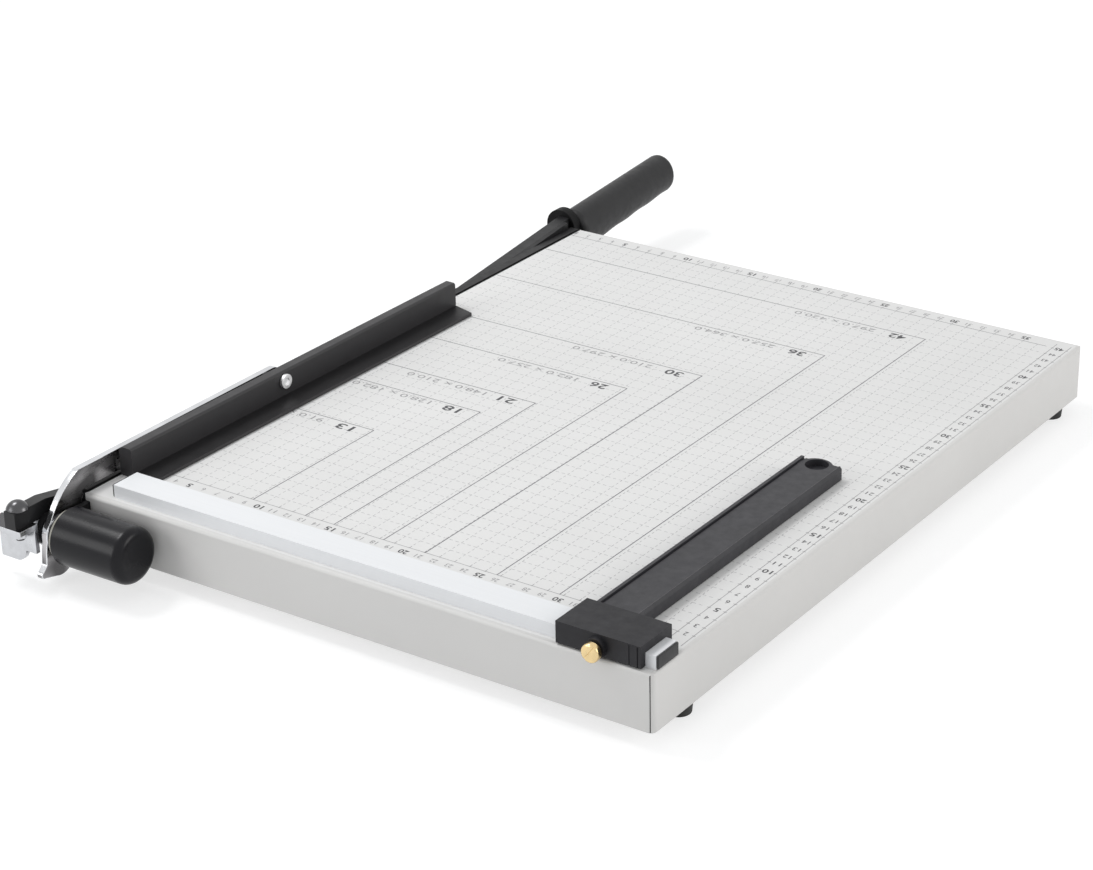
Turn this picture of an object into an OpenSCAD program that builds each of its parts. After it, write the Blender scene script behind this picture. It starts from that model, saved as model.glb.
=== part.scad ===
// Guillotine paper cutter: a steel table with a hinged blade along its left side,
// a guard that presses the paper, a front fence and a paper gauge that slides on it.
// The sizes are measured from the cut line (x = 0), the fence's inner face (y = 0)
// and the table top (z = 0); at_table() then moves each piece to the part's own frame.

/* [Table] */
// Width of the steel table, left to right
table_w = 378; // [300:1:460]
// Depth of the steel table, front to back
table_l = 488; // [440:1:600]
// Height of the table's walls
wall_h = 34; // [34:1:60]
// Thickness of the table's sheet
sheet_t = 1.5; // [1:0.1:2.5]
// Outer radius of the bend along the top edges
bend_r = 2.5; // [2.5:0.1:4]
// Outer radius of the upright corners
corner_r = 3.5; // [2.5:0.1:6]
// Width of the lips folded in under the walls
lip_w = 24; // [20:1:30]
// Width of a stiffening channel under the table
brace_w = 24; // [16:1:40]
// Height of a stiffening channel
brace_h = 12; // [8:1:20]
// Thickness of a channel's sheet
brace_t = 1.5; // [1:0.1:2.5]
// Distance from a channel's end to the table's side
brace_inset = 16; // [14:1:40]

/* [Feet] */
// Diameter of a rubber foot
foot_d = 16; // [12:1:18]
// Height of a rubber foot below the lips
foot_h = 10; // [10:1:20]
// How much narrower the foot's tread is, on the radius
foot_taper = 1; // [0.5:0.1:2]
// Distance from a foot's middle to the table's side
foot_side_inset = 11.3; // [10:0.1:14]
// Distance from a front foot's middle to the front wall
foot_front_inset = 41; // [20:1:80]
// Distance from a back foot's middle to the back wall
foot_back_inset = 17; // [12:1:80]
// Depth of the recess that hides a foot's screw
foot_recess = 4; // [3:0.5:5]

/* [Bed knife] */
// Thickness of the bed knife on the table's left side
knife_t = 6; // [5:0.5:8]
// Height of the bed knife
knife_h = 24; // [20:1:30]
// Distance from the front wall to the bed knife
knife_front_gap = 4; // [2:1:8]
// Distance from the bed knife to the back wall
knife_back_gap = 1; // [0.5:0.5:6]
// Depth of the knife screws below the table top
knife_screw_drop = 12; // [10:1:14]
// Diameter of the countersunk knife screws
knife_screw_d = 5; // [4:0.5:6]
// Diameter of a knife screw's head
knife_screw_head_d = 9.6; // [8:0.1:11]
// Number of screws in the bed knife behind the hinge lug
knife_screw_count = 5; // [3:1:8]

/* [Fence] */
// Width of the aluminium fence rail, front to back
fence_w = 19; // [16:0.5:24]
// Height of the fence rail
fence_h = 7.8; // [6:0.1:10]
// Distance from the front wall to the rail
fence_set_back = 5; // [4.5:0.5:10]
// Distance from the cut line to the rail's left cap
fence_start = 24; // [22:0.5:40]
// Wall thickness of the hollow rail
fence_wall = 1.8; // [1.2:0.1:2]
// Width of the rail's solid middle rib
fence_rib = 5; // [4.5:0.1:6]
// Thickness of an end cap
cap_t = 1.4; // [1:0.1:3]
// Length of an end cap's plugs inside the rail
cap_plug_l = 8; // [4:1:14]
// Number of screws that hold the rail from below
fence_screw_count = 4; // [2:1:6]
// Diameter of a fence screw
fence_screw_d = 3; // [2.5:0.1:3.5]

/* [Gauge] */
// Width of the gauge's head, left to right
head_w = 51; // [44:1:60]
// Distance from the head's right side to the table's right side
head_side_gap = 7.5; // [7.5:0.5:220]
// Height of the head's top above the table
head_top = 13; // [12.5:0.1:16]
// Thickness of the head's front leg
head_front_t = 4.1; // [3.5:0.1:4.3]
// Thickness of the head's rear leg
head_rear_t = 4.7; // [4:0.1:8]
// Width of the gauge's arm
gauge_arm_w = 27.5; // [20:0.5:34]
// Distance from the head's left side to the arm
gauge_arm_shift = 0.5; // [0.5:0.5:8]
// Length of the arm behind the fence
gauge_arm_l = 216; // [120:1:300]
// Height of the arm's rim above the table
gauge_arm_h = 9; // [8:0.1:10]
// How far the arm's flat lies below its rim
gauge_arm_dish = 1; // [0.5:0.1:2]
// Width of the rim along the arm's left side
gauge_rim_w = 4.2; // [3:0.1:6]
// Radius of the round lip at the arm's end
gauge_lip_r = 10.3; // [8:0.1:12]
// How far the lip stands out behind the arm
gauge_lip_out = 3.8; // [2:0.1:5]
// Radius of the finger dish in the lip
gauge_dish_r = 6.8; // [5:0.1:7]
// Depth of the finger dish
gauge_dish = 4; // [2:0.5:5]
// Diameter of the brass clamping screw's head
thumb_d = 12; // [9:0.5:14]
// Length of the brass head
thumb_l = 4.5; // [3:0.5:8]
// Diameter of the brass screw's shank
thumb_shank_d = 5; // [4:0.5:5]
// Length of the boss that the brass screw goes through
thumb_boss_l = 3; // [2:0.5:5]

/* [Pivot] */
// Diameter of the pivot bolt
pivot_d = 10; // [8:1:10]
// Distance from the front wall to the pivot's axis
pivot_ahead = 19; // [19:0.5:30]
// Depth of the pivot's axis below the table top
pivot_drop = 16.6; // [16.6:0.1:22]
// Thickness of the hinge lug
lug_t = 3.5; // [3:0.5:8]
// Radius of the lug's round ear
lug_r = 12; // [10:0.5:13]
// Length of the lug inside the table
lug_in = 46; // [40:1:60]
// Outer diameter of the two thrust washers
lug_washer_d = 30; // [26:0.5:34]
// Thickness of one thrust washer
lug_washer_t = 1.3; // [1:0.05:3]
// Diameter of the spring's cover
cover_d = 33.6; // [28:0.1:36]
// Length of the spring's cover
cover_l = 49; // [40:1:60]
// Wall thickness of the cover
cover_wall = 3; // [2:0.1:3.5]
// Radius of the cover's rounded end
cover_edge_r = 6; // [3:0.5:8]
// Outer diameter of the pivot spring
spring_d = 17.6; // [16:0.1:18]
// Diameter of the spring's wire
spring_wire = 2; // [1.5:0.1:2.2]
// Number of the spring's turns
spring_turns = 6; // [4:1:8]
// Width across the flats of the bolt's head and nut
pivot_hex_w = 15; // [14:0.5:15]
// Thickness of the bolt's head
pivot_head_t = 6.5; // [5:0.5:7]
// Thickness of the pivot nut
pivot_nut_t = 7; // [5:0.5:8]

/* [Blade and arm] */
// Thickness of the cutting blade
blade_t = 3.5; // [2.5:0.1:5]
// Running gap between the blade and the bed knife
blade_gap = 0.1; // [0.05:0.01:0.2]
// Radius of the blade's eye around the pivot
blade_eye_r = 10; // [9:0.5:10]
// Height of the blade at its deepest
blade_h = 31; // [26:1:34]
// Height of the blade at its far end
blade_tip_h = 20; // [16:1:24]
// Distance from the blade's end to the table's back wall
blade_back_gap = 5; // [3:1:20]
// Thickness of the arm's steel bar
arm_t = 8; // [6:0.5:12]
// Height of the bar behind the pivot
arm_h = 20; // [16:1:24]
// Depth of the bar's top below the table top
arm_drop = 2.5; // [1:0.1:4]
// Height of the bar's heel, over and ahead of the pivot
heel_h = 6.2; // [4:0.1:6.2]
// How far the heel's top lies above the bar's
heel_rise = 4.2; // [0:0.1:6]
// Length of the slope between the heel's top and the bar's
heel_slope_l = 22; // [18:1:30]
// Length of the heel ahead of the pivot
heel_l = 24; // [24:0.5:26]
// Distance behind the pivot where the bar grows to its full height
heel_back = 20; // [18:0.5:30]
// Distance from the table's back wall to the bend in the bar
arm_bend_in = 119; // [60:1:160]
// How much lower the bar's top lies at the bend than at the pivot
arm_sag = 5.5; // [0:0.5:8]
// Angle by which the bar rises behind the bend
arm_tilt = 6.2; // [0:0.1:8]
// Number of screws that hold the blade on the bar
blade_screw_count = 6; // [4:1:9]
// Diameter of a blade screw
blade_screw_d = 5; // [4:0.5:6]
// Diameter of a blade screw's round head
blade_screw_head_d = 9; // [7:0.5:11]

/* [Heel plate] */
// Width of the zinc plate on the heel
heel_plate_w = 27; // [18:1:30]
// How far the plate stands out to the right of the bar
heel_plate_over = 3; // [0:0.5:3]
// Thickness of the zinc plate
heel_plate_t = 3; // [2:0.5:4]
// Height of the plate's hanging leg
heel_plate_h = 17.6; // [12:0.1:20]
// Height of the lobe at the leg's outer corner
heel_lobe_h = 7.5; // [1:0.5:8]
// Length of the plate's level leg
heel_leg_l = 13.5; // [13:0.5:13.5]
// Diameter of the domed bolt on the heel
heel_bolt_d = 5; // [4:0.5:6]
// Diameter of the bolt's dome
heel_dome_d = 13; // [10:0.5:13]
// Height of the bolt's dome
heel_dome_h = 5; // [3:0.5:6]

/* [Handle] */
// Length of the grip behind its flange
grip_l = 114; // [100:1:150]
// Width of the grip
grip_w = 25; // [22:0.5:30]
// Height of the grip
grip_h = 31; // [28:0.5:34]
// Height of the grip at its end
grip_end_h = 27.4; // [24:0.2:38]
// Angle by which the grip rises towards its end
grip_tilt = 5; // [0:0.5:8]
// Distance from the bar's middle to the grip's, to the right
grip_shift = 1.1; // [0:0.1:3]
// Depth of the finger waves under the grip
grip_wave = 0.8; // [0:0.1:1.5]
// Radius of the grip's rounded end
grip_edge_r = 4; // [2:0.5:6]
// Diameter of the round flange ahead of the grip
flange_d = 23; // [20:0.1:32]
// Thickness of the flange
flange_t = 7.5; // [3:0.5:10]
// Distance from the bar's middle to the flange's, to the left
flange_shift = 3; // [0:0.1:4]
// Distance from the table's back wall to the flange
handle_gap = 1.5; // [1:0.5:6]
// How far the flange's middle lies above the grip's
flange_rise = 6.3; // [0:0.1:8]
// Depth of the grip's middle below the table top, at the flange
grip_drop = 8.3; // [7:0.1:12]
// Height of the tang inside the grip
tang_h = 12; // [8:0.5:14]
// Distance from the tang's end to the grip's end
tang_cover = 33; // [29:1:60]

/* [Guard] */
// Length of the guard
guard_l = 298; // [200:0.5:400]
// Distance from the fence's inner face to the guard
guard_start = 4.5; // [3:0.5:20]
// Distance from the cut line to the guard's upright face
guard_wall_x = 19.2; // [18.5:0.1:26]
// Width of the guard's foot, beyond the upright face
guard_foot_w = 15.5; // [10:0.5:24]
// How much shorter the foot is at its outer rear corner
guard_rake = 4; // [0:0.5:10]
// Angle by which the guard stands out of line with the cut
guard_turn = 0.7; // [0:0.1:0.8]
// Height of the guard above the table
guard_h = 17.8; // [17.5:0.1:24]
// Thickness of the guard's sheet
guard_t = 2; // [1.5:0.1:2.5]
// Width of the guard's level roof
guard_roof_w = 7; // [5:0.5:8]
// Width of the sloping edge beside the roof
guard_slope_w = 2.2; // [1.6:0.1:2.8]
// Height of the sloping edge
guard_slope_h = 2.4; // [2:0.1:4]
// Gap between the guard's foot and the table
guard_float = 0.3; // [0.2:0.1:1]
// Distance from the guard's front end to its screw
guard_screw_in = 131; // [100:0.5:180]
// Height of the guard's screw above the table
guard_screw_rise = 11.5; // [10:0.1:11.5]
// Diameter of the guard's screw
guard_screw_d = 4; // [3:0.5:4]
// Diameter of the screw's flat head
guard_screw_head_d = 9; // [7.6:0.1:11]

/* [Guard lever] */
// Thickness of the lever
lever_t = 4; // [3:0.1:4]
// Distance from the cut line to the lever
lever_gap = 2; // [1.5:0.1:2]
// Width of the lever's strip
lever_h = 13.5; // [13:0.5:15]
// Height of the strip's lower edge above the table
lever_low = 1.5; // [1:0.1:1.8]
// Distance from the lever's screw to the middle of its round end
lever_tip = 5.5; // [0:0.5:10]
// Outer radius of the lever's curve down to the pivot
lever_curve_r = 52.5; // [52:0.5:54]
// Radius of the lever's eye around the pivot
lever_eye_r = 11; // [9:0.5:12]
// Radius of the lever's round tail
lever_tail_r = 10.9; // [10:0.1:11.5]

/* [Hidden] */

// Overrun of every cut
cut = 1;
// Clearances
slip = 0.15;
running_fit = 0.06;
loose_fit = 0.3;
seat_gap = 0.2;
slot_gap = 0.4;
// Bend along a rounded edge has this many sides
round_sides = 48;
fine_sides = 96;

// Table
table_left = knife_t;
table_right = table_left + table_w;
table_front = -(fence_w + fence_set_back);
table_back = table_front + table_l;
inner_left = table_left + sheet_t;
brace_shares = [0.28, 0.72];

// Feet and their screws
foot_screw_d = 4;
foot_head_d = 7.4;
foot_head_h = 2.4;
foot_nut_w = 7;
foot_nut_t = 3.2;
foot_recess_d = 9;
foot_xs = [table_left + foot_side_inset, table_right - foot_side_inset];
foot_ys = [table_front + foot_front_inset, table_back - foot_back_inset];

// Bed knife and hinge lug
knife_start = table_front + knife_front_gap;
knife_end = table_back - knife_back_gap;
knife_sink = 0.2;
knife_nut_w = 8;
knife_nut_t = 4;
thread_end = 1.5;
lug_end = table_front + lug_in;
lug_bolt_inset = 7;
lug_bolt_ys = [knife_start + lug_bolt_inset, lug_end - lug_bolt_inset];
knife_screw_first = lug_end + brace_w;
knife_screw_last = knife_end - brace_w;
knife_screw_step = (knife_screw_last - knife_screw_first) / (knife_screw_count - 1);
knife_screw_ys = [for (i = [0 : knife_screw_count - 1]) knife_screw_first + i * knife_screw_step];

// Fence
rail_start = fence_start + cap_t;
rail_end = table_right - cap_t;
rail_cell_w = (fence_w - 2 * fence_wall - fence_rib) / 2;
rail_cell_h = fence_h - 2 * fence_wall;
rail_screw_inset = 30;
rail_screw_step = (rail_end - rail_start - 2 * rail_screw_inset) / (fence_screw_count - 1);
rail_screw_xs = [for (i = [0 : fence_screw_count - 1]) rail_start + rail_screw_inset + i * rail_screw_step];
rail_screw_grip = fence_h - fence_wall;
rail_screw_head_d = 6;
rail_screw_head_h = 2;

// Gauge
head_base = 0.6;
head_end = table_right - head_side_gap;
head_start = head_end - head_w;
head_front = -(fence_w + loose_fit + head_front_t);
head_back = loose_fit + head_rear_t;
head_roof = fence_h + loose_fit;
gauge_arm_start = head_start + gauge_arm_shift;
gauge_arm_end = gauge_arm_start + gauge_arm_w;
gauge_arm_base = 0.4;
gauge_arm_back = loose_fit + gauge_arm_l;
gauge_lip_x = (gauge_arm_start + gauge_arm_end) / 2;
gauge_lip_y = gauge_arm_back + gauge_lip_out - gauge_lip_r;
gauge_lip_wall = 1.2;
gauge_groove_w = 1;
gauge_groove_d = 0.6;
gauge_bevel = 1.2;
tongue_t = 2.4;
tongue_front = -(fence_w - fence_wall);
tongue_inset = 2;
tongue_l = loose_fit + tongue_t - tongue_front;
tongue_screw_d = 3;
tongue_screw_head_d = 5.4;
tongue_screw_cover = 1;
tongue_screw_rise = head_top - head_roof - tongue_screw_cover;
tongue_screw_inset = 6;
thumb_x = (head_start + head_end) / 2;
thumb_z = 5.2;
thumb_gap = 0.6;
thumb_boss_d = 12.5;
thumb_slot_w = 1.4;
thumb_slot_d = 1.3;
thumb_front = head_front - thumb_boss_l - thumb_gap - thumb_l;
pad_w = 9;
pad_h = 5;
pad_t = 1.2;

// Pivot stack, from the cut line towards the middle of the table
pivot_y = table_front - pivot_ahead;
pivot_z = -pivot_drop;
pivot_r = pivot_d / 2;
lever_left = lever_gap;
lever_right = lever_gap + lever_t;
lug_left = inner_left;
lug_right = lug_left + lug_t;
washers_right = lug_right + 2 * lug_washer_t;
cover_end = washers_right + cover_l;
bolt_end = cover_end - cover_wall - loose_fit;
nut_left = bolt_end - thread_end - pivot_nut_t;
spring_washer_t = 1.5;
spring_washer_d = 21;
blade_left = -(blade_gap + blade_t);
blade_washer_t = 1.2;
blade_washer_d = pivot_hex_w;
head_right = blade_left - blade_washer_t;
spring_start = washers_right + seat_gap;
spring_stop = nut_left - spring_washer_t - seat_gap;
spring_mean_r = (spring_d - spring_wire) / 2;
spring_ring_count = 8 * spring_turns;
spring_sides = 6;
spring_travel = spring_stop - spring_start - spring_wire;

// Arm and blade
arm_right = blade_left;
arm_left = arm_right - arm_t;
arm_mid = (arm_left + arm_right) / 2;
arm_top = -arm_drop;
heel_front = pivot_y - heel_l;
heel_step = pivot_y + heel_back;
arm_bend_y = table_back - arm_bend_in;
arm_rise = tan(arm_tilt);
bend_top = arm_top - arm_sag;
heel_top = arm_top + heel_rise;
root_y = table_back + handle_gap;
root_top = bend_top + (root_y - arm_bend_y) * arm_rise;
blade_end = table_back - blade_back_gap;
blade_end_top = bend_top + (blade_end - arm_bend_y) * arm_rise;
blade_steps = 16;
blade_bevel_w = 2.6;
blade_bevel_h = 5;
blade_belly = (blade_h - blade_eye_r) / 4;
blade_screw_first = heel_step + arm_h;
blade_screw_last = arm_bend_y - arm_h;
blade_screw_step = (blade_screw_last - blade_screw_first) / (blade_screw_count - 1);
blade_screw_ys = [for (i = [0 : blade_screw_count - 1]) blade_screw_first + i * blade_screw_step];
blade_screw_head_t = 2.6;
blade_screw_cover = 1;
blade_screw_grip = blade_t - blade_screw_cover;
screw_socket_share = 0.45;

// Heel plate and its bolt
plate_left = arm_right + heel_plate_over - heel_plate_w;
plate_top = arm_top - heel_h;
leg_back = heel_front + heel_leg_l;
leg_front = leg_back - heel_plate_t;
lobe_share = 3 / 7;
lobe_w = heel_plate_w * lobe_share;
heel_nut_w = 7;
heel_bolt_y = leg_front - heel_nut_w / 2 - slot_gap;
heel_nut_t = 4;

// Handle
grip_front = root_y + flange_t;
grip_end = grip_front + grip_l;
grip_z = -grip_drop;
grip_x = arm_mid + grip_shift;
grip_rise = tan(grip_tilt);
flange_x = arm_mid - flange_shift;
flange_web = 2.8;
flange_seat_d = norm([arm_t, tang_h]) + 2 * flange_web;
grip_rings = 22;
grip_sides = 36;
grip_waves = 4;
edge_rings = 4;
handle_screw_d = 5;
handle_screw_head_d = 10;
handle_screw_head_t = 3;
handle_screw_sink = 3;
tang_l = grip_l - tang_cover;
tang_back = grip_front + tang_l;
tang_end_z = grip_z + tang_l * grip_rise;

// Guard and its lever
guard_end = guard_start + guard_l;
guard_left = guard_wall_x - guard_roof_w - guard_slope_w;
guard_right = guard_wall_x + guard_foot_w;
guard_screw_y = guard_start + guard_screw_in;
guard_screw_head_t = 2;
guard_edge_r = 1.6;
slope_l = norm([guard_slope_w, guard_slope_h]);
slope_in_x = guard_t * guard_slope_h / slope_l;
slope_in_z = guard_t * guard_slope_w / slope_l;
slope_inner_rise = (guard_slope_h - guard_t + slope_in_z) * guard_slope_w / guard_slope_h;
spacer_wall = 0.6;
spacer_step = 0.8;
spacer_d = guard_screw_d + 2 * spacer_wall;
spacer_collar_d = spacer_d + 2 * spacer_step;
spacer_collar_l = 4;
lever_top = lever_low + lever_h;
lever_mid_z = lever_low + lever_h / 2;
lever_inset = 2.5;
lever_inner_y = table_front + lever_inset;
// Middle of the lever's curve, seen from the pivot
lever_curve_shift = [39.7, -15.9];
lever_curve_y = pivot_y + lever_curve_shift[0];
lever_curve_z = pivot_z + lever_curve_shift[1];
lever_far_y = lever_curve_y - lever_curve_r;
lever_tail_shift = [-2, -14.6];
lever_tail = [pivot_y, pivot_z] + lever_tail_shift;
hook_r = 2.2;
hook_shift = [-15.1, -20.3];
hook_place = [pivot_y, pivot_z] + hook_shift;
hook_line = lever_tail - hook_place;
hook_angle = atan2(hook_line[1], hook_line[0]) - acos((hook_r - lever_tail_r) / norm(hook_line));
hook_under = [cos(hook_angle), sin(hook_angle)];
hook_over = [cos(120), sin(120)];
// How deep the corners of straight pieces lie inside round ones
lever_sink = 0.1;

// The part's frame stands at the middle of its box, on the feet's treads
box_left = min(plate_left, grip_x - grip_w / 2, flange_x - flange_d / 2);
frame_x = (box_left + table_right) / 2;
frame_y = (heel_front + grip_end) / 2;
frame_z = wall_h + foot_h;
module at_table() {
    translate([-frame_x, -frame_y, frame_z]) children();
}

// Builds a rectangle with round corners from true arcs
module rounded_rect(w, l, r) {
    translate([r, 0]) square([w - 2 * r, l]);
    translate([0, r]) square([w, l - 2 * r]);
    for (x = [r, w - r]) {
        for (y = [r, l - r]) {
            translate([x, y]) circle(r, $fn = round_sides);
        }
    }
}

// Extrudes an outline drawn in y and z along x
module along_x(x, w) {
    translate([x, 0, 0]) rotate([90, 0, 90]) linear_extrude(w) children();
}

// Extrudes an outline drawn in x and z towards the back
module along_y(y, l) {
    translate([0, y + l, 0]) rotate([90, 0, 0]) linear_extrude(l) children();
}

// Round bar along x
module rod_x(x, y, z, d, l) {
    translate([x, y, z]) rotate([0, 90, 0]) cylinder(d = d, h = l, $fn = round_sides);
}

// Round bar along y
module rod_y(x, y, z, d, l) {
    translate([x, y, z]) rotate([-90, 0, 0]) cylinder(d = d, h = l, $fn = round_sides);
}

// Hexagon across its flats, flats facing up and down
module hexagon(w) {
    circle(d = w / cos(30), $fn = 6);
}

// Countersunk screw along x, its head's face at x = 0
module countersunk(d, head_d, l) {
    cone_h = (head_d - d) / 2;
    rotate([0, 90, 0]) {
        cylinder(d1 = head_d, d2 = d, h = cone_h, $fn = round_sides);
        cylinder(d = d, h = l, $fn = round_sides);
    }
}

// Joins rings of points, all with as many points, into one closed tube
module swept(rings) {
    count = len(rings);
    sides = len(rings[0]);
    points = [for (ring = rings) each ring];
    skin = [for (i = [0 : count - 2]) for (k = [0 : sides - 1])
        let (a = i * sides + k, b = i * sides + (k + 1) % sides) each [[a, a + sides, b],
            [b, a + sides, b + sides]]];
    first = [for (k = [1 : sides - 2]) [0, k, k + 1]];
    tail = (count - 1) * sides;
    last = [for (k = [1 : sides - 2]) [tail, tail + k + 1, tail + k]];
    polyhedron(points = points, faces = concat(skin, first, last));
}

// Outer block of the table, with its bends rounded
module tray_block(inset) {
    w = table_w - 2 * inset;
    l = table_l - 2 * inset;
    r = bend_r - inset;
    deep = wall_h - inset;
    intersection() {
        translate([table_left + inset, table_front + inset, -inset - deep])
            linear_extrude(deep) rounded_rect(w, l, corner_r - inset);
        along_y(table_front, table_l) translate([table_left + inset, -wall_h - bend_r])
            rounded_rect(w, wall_h + bend_r - inset, r);
        along_x(table_left, table_w) translate([table_front + inset, -wall_h - bend_r])
            rounded_rect(l, wall_h + bend_r - inset, r);
    }
}

module knife_holes() {
    for (y = concat(lug_bolt_ys, knife_screw_ys)) {
        rod_x(0, y, -knife_screw_drop, knife_screw_d + 2 * slip, lug_right + cut);
    }
}

module base_tray() {
    color("gainsboro") at_table() difference() {
        tray_block(0);
        difference() {
            tray_block(sheet_t);
            translate([table_left, table_front, -wall_h]) difference() {
                cube([table_w, table_l, sheet_t]);
                translate([lip_w, lip_w, -cut])
                    cube([table_w - 2 * lip_w, table_l - 2 * lip_w, sheet_t + 2 * cut]);
            }
        }
        knife_holes();
        for (x = foot_xs) {
            for (y = foot_ys) {
                translate([x, y, -wall_h - cut])
                    cylinder(d = foot_screw_d + 2 * slip, h = sheet_t + 2 * cut, $fn = round_sides);
            }
        }
        for (x = rail_screw_xs) {
            translate([x, -fence_w / 2, -sheet_t - cut])
                cylinder(d = fence_screw_d + 2 * slip, h = sheet_t + 2 * cut, $fn = round_sides);
        }
        translate([lug_left - slip, table_front - cut, pivot_z - lug_r - slot_gap])
            cube([lug_t + slot_gap, corner_r + 2 * cut, 2 * (lug_r + slot_gap)]);
    }
}

module cross_braces() {
    color("silver") at_table() for (share = brace_shares) {
        translate([table_left + brace_inset, table_front + share * table_l - brace_w / 2,
            -sheet_t - brace_h]) difference() {
            cube([table_w - 2 * brace_inset, brace_w, brace_h]);
            translate([-cut, brace_t, -cut])
                cube([table_w - 2 * brace_inset + 2 * cut, brace_w - 2 * brace_t,
                    brace_h - brace_t + cut]);
        }
    }
}

module bed_knife() {
    color("dimgray") at_table() difference() {
        translate([0, knife_start, -knife_h]) cube([knife_t, knife_end - knife_start, knife_h]);
        knife_holes();
        for (y = concat(lug_bolt_ys, knife_screw_ys)) {
            translate([-slip, y, -knife_screw_drop])
                countersunk(knife_screw_d, knife_screw_head_d + 2 * slip, knife_t);
        }
    }
}

module bed_knife_screws() {
    reach = inner_left + knife_nut_t + thread_end - knife_sink;
    color("silver") at_table() for (y = knife_screw_ys) {
        translate([knife_sink, y, -knife_screw_drop])
            countersunk(knife_screw_d, knife_screw_head_d - 2 * knife_sink, reach);
    }
}

// Hexagon nut along x around a screw
module nut_x(x, y, z, w, t, d) {
    along_x(x, t) translate([y, z]) difference() {
        hexagon(w);
        circle(d = d, $fn = round_sides);
    }
}

module bed_knife_nuts() {
    color("silver") at_table() for (y = knife_screw_ys) {
        nut_x(inner_left, y, -knife_screw_drop, knife_nut_w, knife_nut_t, knife_screw_d);
    }
}

module hinge_lug() {
    color("darkgray") at_table() difference() {
        along_x(lug_left, lug_t) {
            translate([pivot_y, pivot_z]) circle(lug_r, $fn = fine_sides);
            translate([pivot_y, pivot_z - lug_r]) square([lug_end - pivot_y, 2 * lug_r]);
        }
        rod_x(lug_left - cut, pivot_y, pivot_z, pivot_d + 2 * running_fit, lug_t + 2 * cut);
        for (y = lug_bolt_ys) {
            rod_x(lug_left - cut, y, -knife_screw_drop, knife_screw_d + 2 * slip, lug_t + 2 * cut);
        }
    }
}

module hinge_lug_bolts() {
    reach = lug_right + knife_nut_t + thread_end - knife_sink;
    color("silver") at_table() for (y = lug_bolt_ys) {
        translate([knife_sink, y, -knife_screw_drop])
            countersunk(knife_screw_d, knife_screw_head_d - 2 * knife_sink, reach);
    }
}

module hinge_lug_nuts() {
    color("silver") at_table() for (y = lug_bolt_ys) {
        nut_x(lug_right, y, -knife_screw_drop, knife_nut_w, knife_nut_t, knife_screw_d);
    }
}

// The two hollow cells inside the rail, made smaller by a gap for the plugs
module rail_cells(gap) {
    for (y = [-fence_w + fence_wall, -fence_wall - rail_cell_w]) {
        translate([y + gap, fence_wall + gap]) square([rail_cell_w - 2 * gap, rail_cell_h - 2 * gap]);
    }
}

module fence_outline() {
    translate([-fence_w, 0]) square([fence_w, fence_h]);
}

module fence_rail() {
    color("white") at_table() difference() {
        along_x(rail_start, rail_end - rail_start) fence_outline();
        along_x(rail_start - cut, rail_end - rail_start + 2 * cut) rail_cells(0);
        for (x = rail_screw_xs) {
            translate([x, -fence_w / 2, -cut])
                cylinder(d = fence_screw_d, h = rail_screw_grip + cut, $fn = round_sides);
        }
    }
}

module fence_cap(x, plug_x) {
    color("black") at_table() {
        along_x(x, cap_t) fence_outline();
        along_x(plug_x, cap_plug_l) rail_cells(slip);
    }
}

module fence_cap_left() {
    fence_cap(fence_start, rail_start);
}

module fence_cap_right() {
    fence_cap(rail_end, rail_end - cap_plug_l);
}

module fence_screws() {
    color("silver") at_table() for (x = rail_screw_xs) {
        translate([x, -fence_w / 2, -sheet_t - rail_screw_head_h]) {
            cylinder(d = rail_screw_head_d, h = rail_screw_head_h, $fn = round_sides);
            cylinder(d = fence_screw_d, h = rail_screw_head_h + sheet_t + rail_screw_grip - slip,
                $fn = round_sides);
        }
    }
}

module at_feet() {
    for (x = foot_xs) {
        for (y = foot_ys) {
            translate([x, y, -wall_h]) children();
        }
    }
}

module rubber_feet() {
    color("black") at_table() at_feet() difference() {
        translate([0, 0, -foot_h]) cylinder(r1 = foot_d / 2 - foot_taper, r2 = foot_d / 2, h = foot_h,
            $fn = round_sides);
        translate([0, 0, -foot_h - cut])
            cylinder(d = foot_recess_d, h = foot_recess + cut, $fn = round_sides);
        translate([0, 0, -foot_h]) cylinder(d = foot_screw_d + 2 * slip, h = foot_h + cut,
            $fn = round_sides);
    }
}

module foot_screws() {
    shank = foot_h - foot_recess + sheet_t + foot_nut_t + thread_end;
    color("silver") at_table() at_feet() translate([0, 0, -foot_h + foot_recess]) {
        translate([0, 0, -foot_head_h]) cylinder(d = foot_head_d, h = foot_head_h, $fn = round_sides);
        cylinder(d = foot_screw_d, h = shank, $fn = round_sides);
    }
}

module foot_nuts() {
    color("silver") at_table() at_feet() translate([0, 0, sheet_t]) linear_extrude(foot_nut_t)
        difference() {
        hexagon(foot_nut_w);
        circle(d = foot_screw_d, $fn = round_sides);
    }
}

// Flat ring on the pivot's axis
module pivot_ring(x, d, bore_d, t) {
    difference() {
        rod_x(x, pivot_y, pivot_z, d, t);
        rod_x(x - cut, pivot_y, pivot_z, bore_d, t + 2 * cut);
    }
}

module thrust_washers() {
    color("ivory") at_table() for (i = [0, 1]) {
        pivot_ring(lug_right + i * lug_washer_t, lug_washer_d, pivot_d + 2 * loose_fit, lug_washer_t);
    }
}

module lever_washer() {
    color("silver") at_table() pivot_ring(lever_right, 2 * lever_eye_r, pivot_d + 2 * loose_fit,
        lug_left - lever_right);
}

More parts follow.
